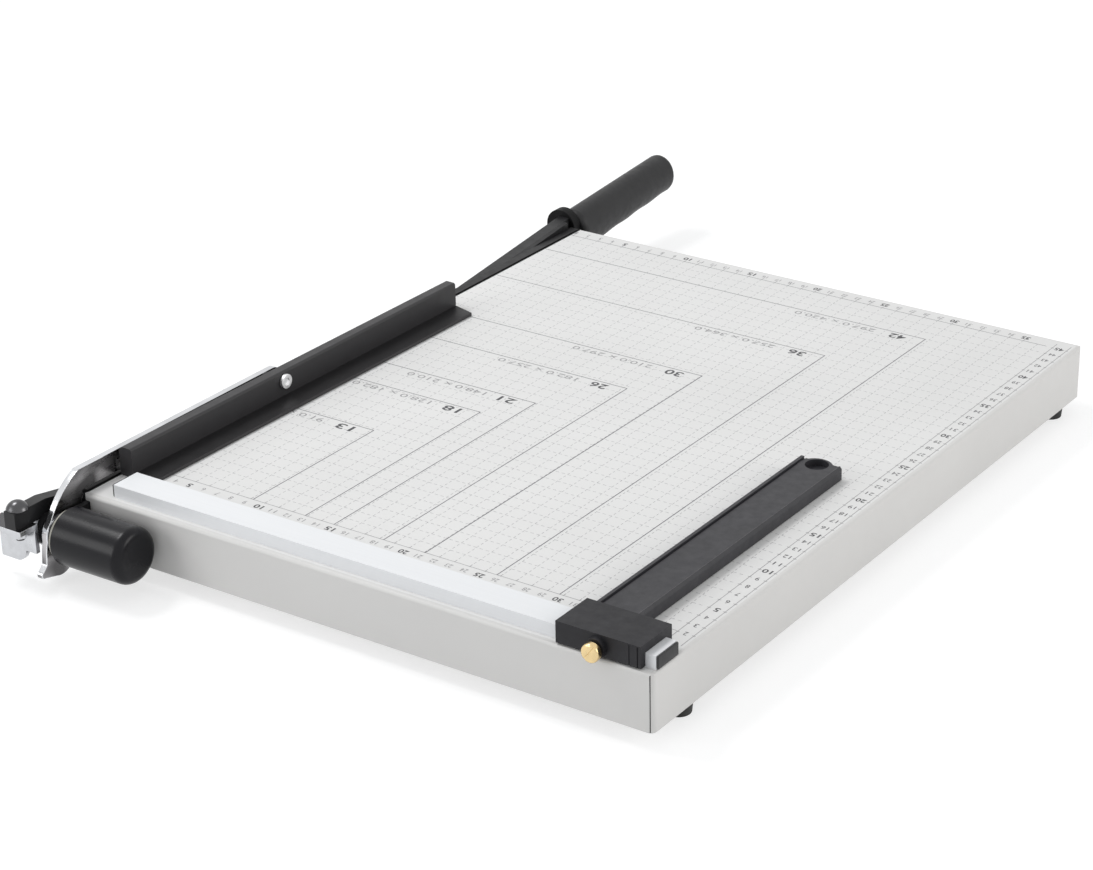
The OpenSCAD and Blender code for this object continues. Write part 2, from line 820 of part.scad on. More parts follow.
function spring_ring(i) = let (
        turn = 360 * spring_turns * i / spring_ring_count,
        x = spring_start + spring_wire / 2 + spring_travel * i / spring_ring_count)
    [for (k = [0 : spring_sides - 1]) let (
        side = 360 * k / spring_sides,
        r = spring_mean_r + spring_wire / 2 * cos(side))
        [x + spring_wire / 2 * sin(side), pivot_y + r * cos(turn), pivot_z + r * sin(turn)]];
spring_rings = [for (i = [0 : spring_ring_count]) spring_ring(i)];
spring_gap = min([for (i = [0 : spring_ring_count - 8])
    for (a = spring_rings[i]) for (b = spring_rings[i + 8]) norm(a - b)]);
echo(least_gap_between_the_turns = spring_gap);

module pivot_spring() {
    color("silver") at_table() swept(spring_rings);
}

module spring_cover() {
    r = cover_d / 2;
    color("black") at_table() translate([washers_right, pivot_y, pivot_z]) rotate([0, 90, 0])
        difference() {
        rotate_extrude($fn = fine_sides) {
            square([r, cover_l - cover_edge_r]);
            square([r - cover_edge_r, cover_l]);
            translate([r - cover_edge_r, cover_l - cover_edge_r]) intersection() {
                circle(cover_edge_r, $fn = round_sides);
                square(cover_edge_r);
            }
        }
        translate([0, 0, -cut]) cylinder(r = r - cover_wall, h = cover_l - cover_wall + cut,
            $fn = fine_sides);
    }
}

// Depth of the blade's edge below its top, from the pivot to its far end
function blade_depth(share) = let (
        root_depth = blade_eye_r - arm_drop + pivot_drop,
        straight = root_depth + (blade_tip_h - root_depth) * share)
    straight + blade_belly * sin(180 * share);
function arm_top_at(y) = y > arm_bend_y ? bend_top + (y - arm_bend_y) * arm_rise
    : arm_top - arm_sag * max(0, y - heel_step) / (arm_bend_y - heel_step);
function blade_screw_z(y) = arm_top_at(y) - arm_h / 2;

// Outline of the blade; raise lifts its cutting edge
module blade_outline(raise) {
    polygon(concat(
        [for (i = [0 : blade_steps]) let (y = pivot_y + (blade_end - pivot_y) * i / blade_steps)
            [y, arm_top_at(y) - blade_depth(i / blade_steps) + raise]],
        [[blade_end, blade_end_top], [arm_bend_y, bend_top], [heel_step, arm_top], [pivot_y, pivot_z]]));
}

module cutting_blade() {
    color("dimgray") at_table() difference() {
        union() {
            along_x(blade_left, blade_t) blade_outline(blade_bevel_h);
            along_x(-blade_gap - blade_t + blade_bevel_w, blade_t - blade_bevel_w) blade_outline(0);
            rod_x(blade_left, pivot_y, pivot_z, 2 * blade_eye_r, blade_t);
        }
        rod_x(blade_left - cut, pivot_y, pivot_z, pivot_d + 2 * running_fit, blade_t + 2 * cut);
        for (y = blade_screw_ys) {
            rod_x(blade_left - cut, y, blade_screw_z(y), blade_screw_d, cut + blade_screw_grip);
        }
    }
}

module arm_bar() {
    color("dimgray") at_table() difference() {
        along_x(arm_left, arm_t) polygon([
            [heel_front, heel_top], [pivot_y, heel_top], [pivot_y + heel_slope_l, arm_top],
            [arm_bend_y, bend_top], [root_y, root_top],
            [root_y, grip_z + tang_h / 2], [grip_front, grip_z + tang_h / 2],
                [tang_back, tang_end_z + tang_h / 2],
            [tang_back, tang_end_z - tang_h / 2], [grip_front, grip_z - tang_h / 2],
                [root_y, grip_z - tang_h / 2],
            [root_y, root_top - arm_h], [arm_bend_y, bend_top - arm_h], [heel_step, arm_top - arm_h],
            [heel_step, arm_top - heel_h], [heel_front, arm_top - heel_h]]);
        for (y = blade_screw_ys) {
            rod_x(arm_left - cut, y, blade_screw_z(y), blade_screw_d + 2 * slip, arm_t + 2 * cut);
        }
        translate([arm_mid, heel_bolt_y, arm_top - heel_h - cut])
            cylinder(d = heel_bolt_d + 2 * slip, h = heel_h + heel_rise + 2 * cut, $fn = round_sides);
        rod_y(arm_mid, tang_back - tang_h, tang_end_z, handle_screw_d, tang_h + cut);
    }
}

module blade_screws() {
    shank = arm_t + blade_screw_grip;
    color("silver") at_table() for (y = blade_screw_ys) {
        translate([arm_left, y, blade_screw_z(y)]) rotate([0, 90, 0]) {
            cylinder(d = blade_screw_d, h = shank, $fn = round_sides);
            translate([0, 0, -blade_screw_head_t]) difference() {
                cylinder(d = blade_screw_head_d, h = blade_screw_head_t, $fn = round_sides);
                translate([0, 0, -cut]) linear_extrude(cut + blade_screw_head_t / 2)
                    hexagon(blade_screw_head_d * screw_socket_share);
            }
        }
    }
}

module pivot_bolt() {
    color("silver") at_table() {
        rod_x(head_right, pivot_y, pivot_z, pivot_d, bolt_end - head_right);
        along_x(head_right - pivot_head_t, pivot_head_t) translate([pivot_y, pivot_z])
            hexagon(pivot_hex_w);
    }
}

module blade_washers() {
    color("silver") at_table() {
        pivot_ring(head_right, blade_washer_d, pivot_d + 2 * running_fit, blade_washer_t);
        pivot_ring(-blade_gap, blade_washer_d, pivot_d + 2 * running_fit, lever_left + blade_gap);
    }
}

module pivot_nut() {
    color("silver") at_table() nut_x(nut_left, pivot_y, pivot_z, pivot_hex_w, pivot_nut_t, pivot_d);
}

module spring_washer() {
    color("silver") at_table() pivot_ring(nut_left - spring_washer_t, spring_washer_d,
        pivot_d + 2 * running_fit, spring_washer_t);
}

module heel_plate() {
    color("lightgray") at_table() difference() {
        union() {
            translate([plate_left, heel_front, plate_top - heel_plate_t])
                cube([heel_plate_w, heel_leg_l, heel_plate_t]);
            along_y(leg_front, heel_plate_t) {
                translate([plate_left, plate_top - heel_plate_h]) square([heel_plate_w, heel_plate_h]);
                translate([plate_left, plate_top - heel_plate_h - heel_lobe_h])
                    square([lobe_w, heel_lobe_h + cut]);
                translate([plate_left + lobe_w, plate_top - heel_plate_h])
                    circle(heel_lobe_h, $fn = round_sides);
            }
        }
        translate([arm_mid, heel_bolt_y, plate_top - heel_plate_t - cut])
            cylinder(d = heel_bolt_d + 2 * slip, h = heel_plate_t + 2 * cut, $fn = round_sides);
    }
}

module heel_bolt() {
    dome_r = (heel_dome_d * heel_dome_d / 4 + heel_dome_h * heel_dome_h) / (2 * heel_dome_h);
    shank = heel_rise + heel_h + heel_plate_t + heel_nut_t + thread_end;
    color("silver") at_table() translate([arm_mid, heel_bolt_y, heel_top]) {
        intersection() {
            translate([0, 0, heel_dome_h - dome_r]) sphere(dome_r, $fn = fine_sides);
            cylinder(d = heel_dome_d, h = heel_dome_h, $fn = round_sides);
        }
        translate([0, 0, -shank]) cylinder(d = heel_bolt_d, h = shank, $fn = round_sides);
    }
}

module heel_nut() {
    color("silver") at_table() translate([arm_mid, heel_bolt_y, plate_top - heel_plate_t - heel_nut_t])
        linear_extrude(heel_nut_t) difference() {
        hexagon(heel_nut_w);
        circle(d = heel_bolt_d, $fn = round_sides);
    }
}

// Pocket for the tang
module tang_pocket() {
    h = tang_h + 2 * slip;
    along_x(arm_left - slip, arm_t + 2 * slip) polygon([
        [root_y - cut, grip_z - h / 2], [grip_front, grip_z - h / 2],
            [tang_back + slip, tang_end_z - h / 2],
        [tang_back + slip, tang_end_z + h / 2], [grip_front, grip_z + h / 2],
            [root_y - cut, grip_z + h / 2]]);
}

module handle_flange() {
    color("black") at_table() difference() {
        union() {
            rod_y(flange_x, root_y, grip_z + flange_rise, flange_d, flange_t);
            rod_y(arm_mid, root_y, grip_z, flange_seat_d, flange_t);
        }
        tang_pocket();
    }
}

// Grip: an oval whose height changes towards its end, with finger waves under it
function grip_half_h(share) = (grip_h + (grip_end_h - grip_h) * share) / 2;
function grip_ring(share, inset) = let (
        y = grip_front + grip_l * share,
        z = grip_z + grip_l * share * grip_rise,
        half_w = grip_w / 2 - inset,
        half_h = grip_half_h(share) - inset,
        wave = grip_wave * (1 - cos(360 * grip_waves * share)) / 2)
    [for (k = [0 : grip_sides - 1]) let (turn = 360 * k / grip_sides)
        [grip_x + half_w * cos(turn), y, z + (half_h - (sin(turn) < 0 ? wave : 0)) * sin(turn)]];
edge_share = grip_edge_r / grip_l;
grip_stations = concat(
    [for (i = [0 : edge_rings - 1]) let (a = 90 * i / edge_rings) [edge_share * (1 - cos(a)),
        grip_edge_r * (1 - sin(a))]],
    [for (i = [0 : grip_rings]) [edge_share + (1 - 2 * edge_share) * i / grip_rings, 0]],
    [for (i = [1 : edge_rings]) let (a = 90 * i / edge_rings) [1 - edge_share + edge_share * sin(a),
        grip_edge_r * (1 - cos(a))]]);

module handle_grip() {
    color("black") at_table() difference() {
        swept([for (s = grip_stations) grip_ring(s[0], s[1])]);
        tang_pocket();
        rod_y(arm_mid, tang_back, tang_end_z, handle_screw_d + 2 * slip, grip_end - tang_back + cut);
        rod_y(arm_mid, grip_end - handle_screw_sink - handle_screw_head_t, tang_end_z,
            handle_screw_head_d + 2 * slip, grip_end - tang_back + cut);
    }
}

module handle_screw() {
    head_y = grip_end - handle_screw_sink - handle_screw_head_t;
    color("silver") at_table() difference() {
        union() {
            rod_y(arm_mid, tang_back - tang_h, tang_end_z, handle_screw_d, head_y - tang_back + tang_h);
            rod_y(arm_mid, head_y, tang_end_z, handle_screw_head_d, handle_screw_head_t);
        }
        along_y(head_y + handle_screw_head_t / 2, handle_screw_head_t) translate([arm_mid, tang_end_z])
            hexagon(handle_screw_d);
    }
}

// Plate from the strip down to the pivot, its outer edge on one curve
module lever_plate() {
    intersection() {
        translate([lever_curve_y, lever_curve_z]) circle(lever_curve_r, $fn = fine_sides);
        polygon([[lever_inner_y, lever_top], [lever_far_y - cut, lever_top],
            [lever_far_y - cut, lever_curve_z], [lever_tail[0], lever_curve_z],
            lever_tail + [lever_tail_r - lever_sink, 0],
            [pivot_y + lever_eye_r - lever_sink, pivot_z], [lever_inner_y, lever_low]]);
    }
}

// Round tail under the pivot, with the small nose ahead of it
module lever_foot() {
    translate(lever_tail) circle(lever_tail_r, $fn = fine_sides);
    translate(hook_place) circle(hook_r, $fn = round_sides);
    polygon([[lever_far_y + lever_sink, lever_curve_z + cut], hook_place + (hook_r - lever_sink) * hook_over,
        hook_place + (hook_r - lever_sink) * hook_under,
        lever_tail + (lever_tail_r - lever_sink) * hook_under, lever_tail]);
}

module guard_lever() {
    strip_end = guard_screw_y + lever_tip;
    color("silver") at_table() difference() {
        along_x(lever_left, lever_t) {
            translate([lever_inner_y - cut, lever_low])
                square([strip_end - lever_inner_y + cut, lever_h]);
            translate([strip_end, lever_mid_z]) circle(lever_h / 2, $fn = fine_sides);
            translate([pivot_y, pivot_z]) circle(lever_eye_r, $fn = fine_sides);
            lever_plate();
            lever_foot();
        }
        rod_x(lever_left - cut, pivot_y, pivot_z, pivot_d + 2 * running_fit, lever_t + 2 * cut);
        rod_x(lever_left - cut, guard_screw_y, guard_screw_rise, guard_screw_d, lever_t + 2 * cut);
    }
}

module guard_spacer() {
    length = guard_wall_x - guard_t - lever_right - seat_gap;
    color("silver") at_table() difference() {
        union() {
            rod_x(lever_right, guard_screw_y, guard_screw_rise, spacer_d, length);
            rod_x(lever_right + length - spacer_collar_l, guard_screw_y, guard_screw_rise,
                spacer_collar_d, spacer_collar_l);
        }
        rod_x(lever_right - cut, guard_screw_y, guard_screw_rise, guard_screw_d, length + 2 * cut);
    }
}

module guard_screw() {
    color("silver") at_table() difference() {
        union() {
            rod_x(lever_left, guard_screw_y, guard_screw_rise, guard_screw_d,
                guard_wall_x + seat_gap - lever_left);
            rod_x(guard_wall_x + seat_gap, guard_screw_y, guard_screw_rise, guard_screw_head_d,
                guard_screw_head_t);
        }
        along_x(guard_wall_x + seat_gap + guard_screw_head_t / 2, guard_screw_head_t)
            translate([guard_screw_y, guard_screw_rise])
            hexagon(guard_screw_head_d * screw_socket_share);
    }
}

// Section of the guard in x and z: foot, upright wall, roof and sloping edge
module guard_section() {
    inner_x = guard_wall_x - guard_t;
    slope_top = guard_wall_x - guard_roof_w;
    translate([inner_x, guard_float]) square([guard_right - inner_x, guard_t]);
    translate([inner_x, guard_float]) square([guard_t, guard_h - guard_float - guard_edge_r]);
    translate([slope_top, guard_h - guard_t]) square([guard_roof_w - guard_edge_r, guard_t]);
    translate([guard_wall_x - guard_edge_r, guard_h - guard_edge_r])
        circle(guard_edge_r, $fn = round_sides);
    translate([inner_x, guard_h - guard_t]) square([guard_t - guard_edge_r, guard_t - guard_edge_r]);
    polygon([[slope_top, guard_h], [guard_left, guard_h - guard_slope_h],
        [guard_left + slope_in_x, guard_h - guard_slope_h - slope_in_z],
        [guard_left + slope_in_x + slope_inner_rise, guard_h - guard_t],
            [guard_wall_x - guard_edge_r, guard_h - guard_t],
        [guard_wall_x - guard_edge_r, guard_h]]);
}

// The wall that closes an end of the guard
module guard_end_section() {
    inner_x = guard_wall_x - guard_t;
    slope_top = guard_wall_x - guard_roof_w;
    polygon([[guard_left, guard_float], [inner_x + guard_t / 2, guard_float],
        [inner_x + guard_t / 2, guard_h - guard_t / 2],
        [slope_top, guard_h - guard_t / 2], [guard_left, guard_h - guard_slope_h]]);
}

// The guard in line with the cut, before it is turned about its screw
module guard_body() {
    difference() {
        union() {
            along_y(guard_start, guard_l) guard_section();
            along_y(guard_start, guard_t) guard_end_section();
            along_y(guard_end - guard_t, guard_t) guard_end_section();
        }
        translate([0, 0, -cut]) linear_extrude(guard_h)
            polygon([[guard_wall_x, guard_end], [guard_wall_x, guard_end + cut],
            [guard_right + cut, guard_end + cut], [guard_right + cut, guard_end - guard_rake],
                [guard_right, guard_end - guard_rake]]);
    }
}

module guard() {
    guard_notch_l = guard_wall_x - guard_t - slip - lever_right;
    color("black") at_table() difference() {
        translate([guard_wall_x, guard_screw_y, 0]) rotate([0, 0, -guard_turn])
            translate([-guard_wall_x, -guard_screw_y, 0])
            guard_body();
        rod_x(lever_right, guard_screw_y, guard_screw_rise, guard_screw_d + 2 * running_fit,
            guard_wall_x);
        rod_x(lever_right, guard_screw_y, guard_screw_rise, spacer_collar_d + 2 * slot_gap,
            guard_notch_l);
    }
}

module gauge_head() {
    tongue_w = gauge_arm_w - 2 * tongue_inset;
    color("black") at_table() difference() {
        union() {
            translate([head_start, head_front, head_base])
                cube([head_w, head_back - head_front, head_top - head_base]);
            rod_y(thumb_x, head_front - thumb_boss_l, thumb_z + head_base, thumb_boss_d - 2 * head_base,
                thumb_boss_l + cut);
        }
        translate([head_start - cut, -fence_w - loose_fit, -cut])
            cube([head_w + 2 * cut, fence_w + 2 * loose_fit, head_roof + cut]);
        translate([gauge_arm_start - slip, loose_fit - cut, -cut])
            cube([gauge_arm_w + 2 * slip, head_rear_t + 2 * cut, gauge_arm_h + slip + cut]);
        translate([gauge_arm_start + tongue_inset - slip, tongue_front - slip, head_roof - cut])
            cube([tongue_w + 2 * slip, tongue_l + 2 * slip, tongue_t + slip + cut]);
        tongue_screw_places() cylinder(d = tongue_screw_d, h = tongue_screw_rise, $fn = round_sides);
        rod_y(thumb_x, head_front - thumb_boss_l - cut, thumb_z, thumb_shank_d + 2 * running_fit,
            thumb_boss_l + head_front_t + 2 * cut);
        translate([thumb_x - pad_w / 2 - slip, -fence_w - loose_fit - pad_t, thumb_z - pad_h / 2 - slip])
            cube([pad_w + 2 * slip, pad_t + cut, pad_h + 2 * slip]);
    }
}

module tongue_screw_places() {
    mid_y = tongue_front / 2;
    for (x = [gauge_arm_start + tongue_inset + tongue_screw_inset,
        gauge_arm_end - tongue_inset - tongue_screw_inset]) {
        translate([x, mid_y, head_roof]) children();
    }
}

module gauge_arm() {
    tongue_w = gauge_arm_w - 2 * tongue_inset;
    flat = gauge_arm_h - gauge_arm_dish;
    color("black") at_table() difference() {
        union() {
            along_y(loose_fit, gauge_arm_back - loose_fit) polygon([
                [gauge_arm_start, gauge_arm_base], [gauge_arm_start, gauge_arm_h - gauge_bevel],
                [gauge_arm_start + gauge_bevel, gauge_arm_h],
                    [gauge_arm_start + gauge_rim_w - gauge_groove_w, gauge_arm_h],
                [gauge_arm_start + gauge_rim_w - gauge_groove_w, flat - gauge_groove_d],
                    [gauge_arm_start + gauge_rim_w, flat - gauge_groove_d],
                [gauge_arm_start + gauge_rim_w, flat], [gauge_arm_end - 2 * gauge_bevel, flat],
                [gauge_arm_end - gauge_bevel, flat + gauge_arm_dish / 2],
                    [gauge_arm_end, flat - gauge_bevel], [gauge_arm_end, gauge_arm_base]]);
            translate([gauge_lip_x, gauge_lip_y, gauge_arm_base])
                cylinder(r = gauge_lip_r, h = flat - gauge_arm_base, $fn = fine_sides);
            translate([gauge_arm_start + tongue_inset, tongue_front, head_roof])
                cube([tongue_w, tongue_l, tongue_t]);
            translate([gauge_arm_start + tongue_inset, loose_fit, gauge_arm_base])
                cube([tongue_w, head_rear_t, gauge_arm_h - gauge_arm_base]);
        }
        translate([gauge_lip_x, gauge_lip_y + gauge_lip_r - gauge_lip_wall - gauge_dish_r,
            flat - gauge_dish])
            cylinder(r = gauge_dish_r, h = gauge_dish + cut, $fn = fine_sides);
        tongue_screw_places() {
            cylinder(d1 = tongue_screw_head_d + slip, d2 = tongue_screw_d + slip,
                h = (tongue_screw_head_d - tongue_screw_d) / 2, $fn = round_sides);
            translate([0, 0, -cut]) cylinder(d = tongue_screw_d + slip, h = tongue_t + 2 * cut,
                $fn = round_sides);
        }
    }
}

module gauge_arm_screws() {
    color("silver") at_table() tongue_screw_places() {
        cylinder(d1 = tongue_screw_head_d, d2 = tongue_screw_d,
            h = (tongue_screw_head_d - tongue_screw_d) / 2, $fn = round_sides);
        cylinder(d = tongue_screw_d, h = tongue_screw_rise - slip, $fn = round_sides);
    }
}

module gauge_pad() {
    color("goldenrod") at_table() translate([thumb_x - pad_w / 2, -fence_w - loose_fit - pad_t + slip,
        thumb_z - pad_h / 2])
        cube([pad_w, pad_t, pad_h]);
}

module gauge_thumbscrew() {
    tip = -fence_w - loose_fit - pad_t;
    color("gold") at_table() difference() {
        union() {
            rod_y(thumb_x, thumb_front, thumb_z, thumb_d, thumb_l);
            rod_y(thumb_x, thumb_front, thumb_z, thumb_shank_d, tip - thumb_front);
        }
        translate([thumb_x - thumb_slot_w / 2, thumb_front - cut, thumb_z - thumb_d])
            cube([thumb_slot_w, thumb_slot_d + cut, 2 * thumb_d]);
    }
}

base_tray();
cross_braces();
bed_knife();
bed_knife_screws();
bed_knife_nuts();
hinge_lug();
hinge_lug_bolts();
hinge_lug_nuts();
fence_rail();
fence_cap_left();
fence_cap_right();
fence_screws();
rubber_feet();
foot_screws();
foot_nuts();
thrust_washers();
lever_washer();
pivot_spring();
spring_cover();
cutting_blade();
blade_screws();
arm_bar();
pivot_bolt();
blade_washers();
pivot_nut();
spring_washer();
heel_plate();
heel_bolt();
heel_nut();
handle_flange();
handle_grip();
handle_screw();
guard_lever();
guard_spacer();
guard_screw();
guard();
gauge_head();
gauge_arm();
gauge_arm_screws();
gauge_pad();
gauge_thumbscrew();
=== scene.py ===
"""Looks of a guillotine paper cutter: a printed steel table, a pressing guard on a chrome lever,
a long blade arm with a moulded grip, a white fence and a paper gauge with a brass screw.

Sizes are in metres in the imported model's frame. at() turns millimetres measured from the cut line,
the fence and the table top into that frame.
"""

import math

import bmesh
import bpy
from mathutils import Matrix, Vector


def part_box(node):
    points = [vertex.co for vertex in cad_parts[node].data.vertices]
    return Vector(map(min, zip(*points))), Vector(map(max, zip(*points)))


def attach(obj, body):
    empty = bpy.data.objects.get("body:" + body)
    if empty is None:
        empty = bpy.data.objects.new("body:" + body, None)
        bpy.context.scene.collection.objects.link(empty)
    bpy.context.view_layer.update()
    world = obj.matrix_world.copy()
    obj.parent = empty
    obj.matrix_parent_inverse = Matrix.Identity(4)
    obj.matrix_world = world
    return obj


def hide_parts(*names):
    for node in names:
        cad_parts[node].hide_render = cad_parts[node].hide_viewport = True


bl_info = {
    "name": "Paper cutter",
    "version": (1, 0, 0),
    "blender": (4, 5, 0),
    "location": "3D View > Sidebar > Paper cutter",
    "description": "Builds the finished pieces of a guillotine paper cutter around its packed model",
    "category": "Object",
}

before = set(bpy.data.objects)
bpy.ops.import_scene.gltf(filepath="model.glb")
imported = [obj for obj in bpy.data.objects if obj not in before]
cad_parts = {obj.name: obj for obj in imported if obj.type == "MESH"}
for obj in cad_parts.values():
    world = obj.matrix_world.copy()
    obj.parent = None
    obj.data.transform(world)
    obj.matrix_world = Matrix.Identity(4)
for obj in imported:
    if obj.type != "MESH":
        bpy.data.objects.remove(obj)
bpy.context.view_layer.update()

MM = 0.001
CUT_LINE_X = 178.2
FENCE_Y = 260.0
TABLE_TOP_Z = 44.0
TABLE_RIGHT = 384.0
TABLE_FRONT, TABLE_BACK = -24.0, 464.0


def at(x, y, z):
    """A point of the model's frame from millimetres off the cut line, the fence and the table top."""
    return Vector(((x - CUT_LINE_X) * MM, (y - FENCE_Y) * MM, (z + TABLE_TOP_Z) * MM))


def metres(name, description, default, low, high):
    """A length in metres that a user may change."""
    return bpy.props.FloatProperty(
        name=name, description=description, default=default, min=low, max=high, unit="LENGTH"
    )


def shade(name, description, default):
    """A colour that a user may change."""
    return bpy.props.FloatVectorProperty(
        name=name, description=description, default=default, size=3, min=0, max=1, subtype="COLOR"
    )


class CutterSizes(bpy.types.PropertyGroup):
    """Sizes that a user may change."""

    edge_softness: metres("Edge softness", "Width of rounded edges on metal parts", 0.0003, 0.00005, 0.002)
    plastic_softness: metres("Plastic softness", "Width of rounded edges on moulded parts", 0.0006, 0.0001, 0.002)
    print_height: metres("Print height", "How far the print stands above the table", 0.00004, 0.00001, 0.0002)
    outline_width: metres("Outline width", "Line width of the sheet outlines", 0.0006, 0.0001, 0.002)
    ruler_width: metres("Ruler width", "Line width of the rulers", 0.0004, 0.0001, 0.002)
    grid_width: metres("Grid width", "Line width of the dashed grid", 0.00028, 0.0001, 0.002)
    grid_step: metres("Grid step", "Distance between the dashed lines", 0.01, 0.005, 0.05)
    dash_length: metres("Dash length", "Length of one dash of the grid", 0.0022, 0.0005, 0.004)
    dash_step: metres("Dash step", "Distance between the dashes along a line", 0.004, 0.002, 0.01)
    numeral_height: metres("Numeral height", "Height of the ruler's numerals", 0.0036, 0.002, 0.006)


class CutterColours(bpy.types.PropertyGroup):
    """Colours that a user may change."""

    paint: shade("Table paint", "Colour of the painted walls", (0.7, 0.69, 0.675))
    top: shade("Table top", "Colour of the printed top", (0.785, 0.78, 0.77))
    ink: shade("Ink", "Colour of numerals and outlines", (0.07, 0.07, 0.075))
    grid: shade("Grid ink", "Colour of the dashed grid", (0.34, 0.335, 0.34))
    fence: shade("Fence", "Colour of the fence rail", (0.84, 0.85, 0.865))
    guard: shade("Guard paint", "Colour of the pressing guard", (0.032, 0.031, 0.033))
    plastic: shade("Plastic", "Colour of the gauge", (0.03, 0.0295, 0.034))
    grip: shade("Grip", "Colour of the grip", (0.019, 0.019, 0.02))
    brass: shade("Brass", "Colour of the thumbscrew", (0.78, 0.6, 0.32))


# Nodes and materials

# The part of the noise's range that a finish spreads over
NOISE_SPAN = (0.3, 0.7)


def add_node(tree, kind, inputs=None, **settings):
    """A node of that kind. Each input takes a plain value or the socket that feeds it."""
    node = tree.nodes.new(kind)
    for key, value in settings.items():
        setattr(node, key, value)
    for key, value in (inputs or {}).items():
        if isinstance(value, bpy.types.NodeSocket):
            tree.links.new(value, node.inputs[key])
        else:
            node.inputs[key].default_value = value
    return node


def blank_material(name, colour, roughness, metallic=0.0, specular=0.5):
    """A Principled material with its constants on the shader's own sockets."""
    material = bpy.data.materials.new(name)
    material.use_nodes = True
    shader = material.node_tree.nodes["Principled BSDF"]
    shader.inputs["Base Color"].default_value = (*colour, 1)
    shader.inputs["Roughness"].default_value = roughness
    shader.inputs["Metallic"].default_value = metallic
    shader.inputs["Specular IOR Level"].default_value = specular
    material.diffuse_color = (*colour, 1)
    return material


def feed_shader(material, name, source):
    """Joins a socket of the material's tree to the shader's input of that name."""
    material.node_tree.links.new(source, material.node_tree.nodes["Principled BSDF"].inputs[name])


def object_noise(material, scale, detail=3.0, stretch=(1, 1, 1)):
    """Noise over the object's own coordinates, stretched along an axis for brushed or drawn metal."""
    tree = material.node_tree
    place = add_node(tree, "ShaderNodeTexCoord").outputs["Object"]
    place = add_node(tree, "ShaderNodeMapping", {"Scale": stretch, "Vector": place}).outputs["Vector"]
    return add_node(tree, "ShaderNodeTexNoise", {"Scale": scale, "Detail": detail, "Vector": place}).outputs["Fac"]


def tint(material, noise, colour, low, high, span=NOISE_SPAN):
    """Spreads noise of those settings between two shades of the colour."""
    ramp = add_node(material.node_tree, "ShaderNodeValToRGB", {"Fac": object_noise(material, *noise)})
    for element, place, factor in zip(ramp.color_ramp.elements, span, (low, high)):
        element.position = place
        element.color = (*scaled(colour, factor), 1)
    feed_shader(material, "Base Color", ramp.outputs["Color"])


def uneven_sheen(material, noise, low, high):
    """Spreads noise of those settings over the roughness."""
    value, (start, end) = object_noise(material, *noise), NOISE_SPAN
    inputs = {"Value": value, "From Min": start, "From Max": end, "To Min": low, "To Max": high}
    spread = add_node(material.node_tree, "ShaderNodeMapRange", inputs)
    feed_shader(material, "Roughness", spread.outputs["Result"])


def emboss(material, noise, strength, distance):
    """Turns noise of those settings into small bumps of that height in metres."""
    inputs = {"Strength": strength, "Distance": distance, "Height": object_noise(material, *noise)}
    bump = add_node(material.node_tree, "ShaderNodeBump", inputs)
    feed_shader(material, "Normal", bump.outputs["Normal"])


def scaled(colour, factor):
    """The colour made lighter or darker, and no lighter than white."""
    return tuple(min(1.0, c * factor) for c in colour)


def powder_paint(name, colour, roughness, grain=900, depth=0.00004, strength=0.35, specular=0.5):
    """Stoved paint with a faint orange peel and a slow drift in tone."""
    material = blank_material(name, colour, roughness, specular=specular)
    tint(material, (9, 2), colour, 0.975, 1.02)
    uneven_sheen(material, (140,), roughness - 0.05, roughness + 0.07)
    emboss(material, (grain, 2), strength, depth)
    return material


def moulded_plastic(name, colour, roughness, grain=1500, strength=0.4, specular=0.5):
    """Moulded plastic with a fine eroded grain and a slightly uneven sheen."""
    material = blank_material(name, colour, roughness, specular=specular)
    tint(material, (60, 4), colour, 0.86, 1.14)
    uneven_sheen(material, (220,), roughness - 0.06, roughness + 0.08)
    emboss(material, (grain,), strength, 0.00005)
    return material


def glossy_moulding(name, colour):
    """Polished black moulding with a slight waviness."""
    material = blank_material(name, colour, 0.26, specular=0.22)
    uneven_sheen(material, (50, 1), 0.25, 0.29)
    emboss(material, (40, 2), 0.04, 0.0003)
    return material


def drawn_metal(name, colour, roughness, stretch=(1, 0.02, 1), grain=900):
    """Metal with fine lines along one axis."""
    material = blank_material(name, colour, roughness, metallic=1.0)
    tint(material, (grain, 3, stretch), colour, 0.88, 1.08)
    uneven_sheen(material, (grain * 0.6, 3, stretch), roughness - 0.07, roughness + 0.1)
    emboss(material, (grain, 2, stretch), 0.25, 0.00002)
    return material


def anodised_white(name, colour, roughness=0.32):
    """White anodised coat over an extrusion, with faint draw lines along it."""
    along = (0.02, 1, 1)
    material = blank_material(name, colour, roughness)
    tint(material, (700, 2, (0.01, 1, 1)), colour, 0.99, 1.01)
    uneven_sheen(material, (400, 2, along), roughness, roughness + 0.08)
    emboss(material, (900, 2, along), 0.05, 0.00001)
    return material


def plated_metal(name, colour, roughness):
    """Plated metal with a cloudy finish."""
    material = blank_material(name, colour, roughness, metallic=1.0)
    tint(material, (180, 4), colour, 0.9, 1.06)
    uneven_sheen(material, (320, 4), roughness - 0.05, roughness + 0.1)
    emboss(material, (700,), 0.15, 0.00002)
    return material


def plated_chrome(name, colour, roughness, cloud=0.9):
    """Chrome plate over stamped steel, with clouds down to that share of its colour."""
    material = blank_material(name, colour, roughness, metallic=1.0)
    tint(material, (45, 1), colour, cloud, 1.05, (0.38, 0.62))
    uneven_sheen(material, (260, 4, (1, 0.2, 1)), roughness - 0.05, roughness + 0.08)
    emboss(material, (60,), 0.06, 0.0002)
    return material


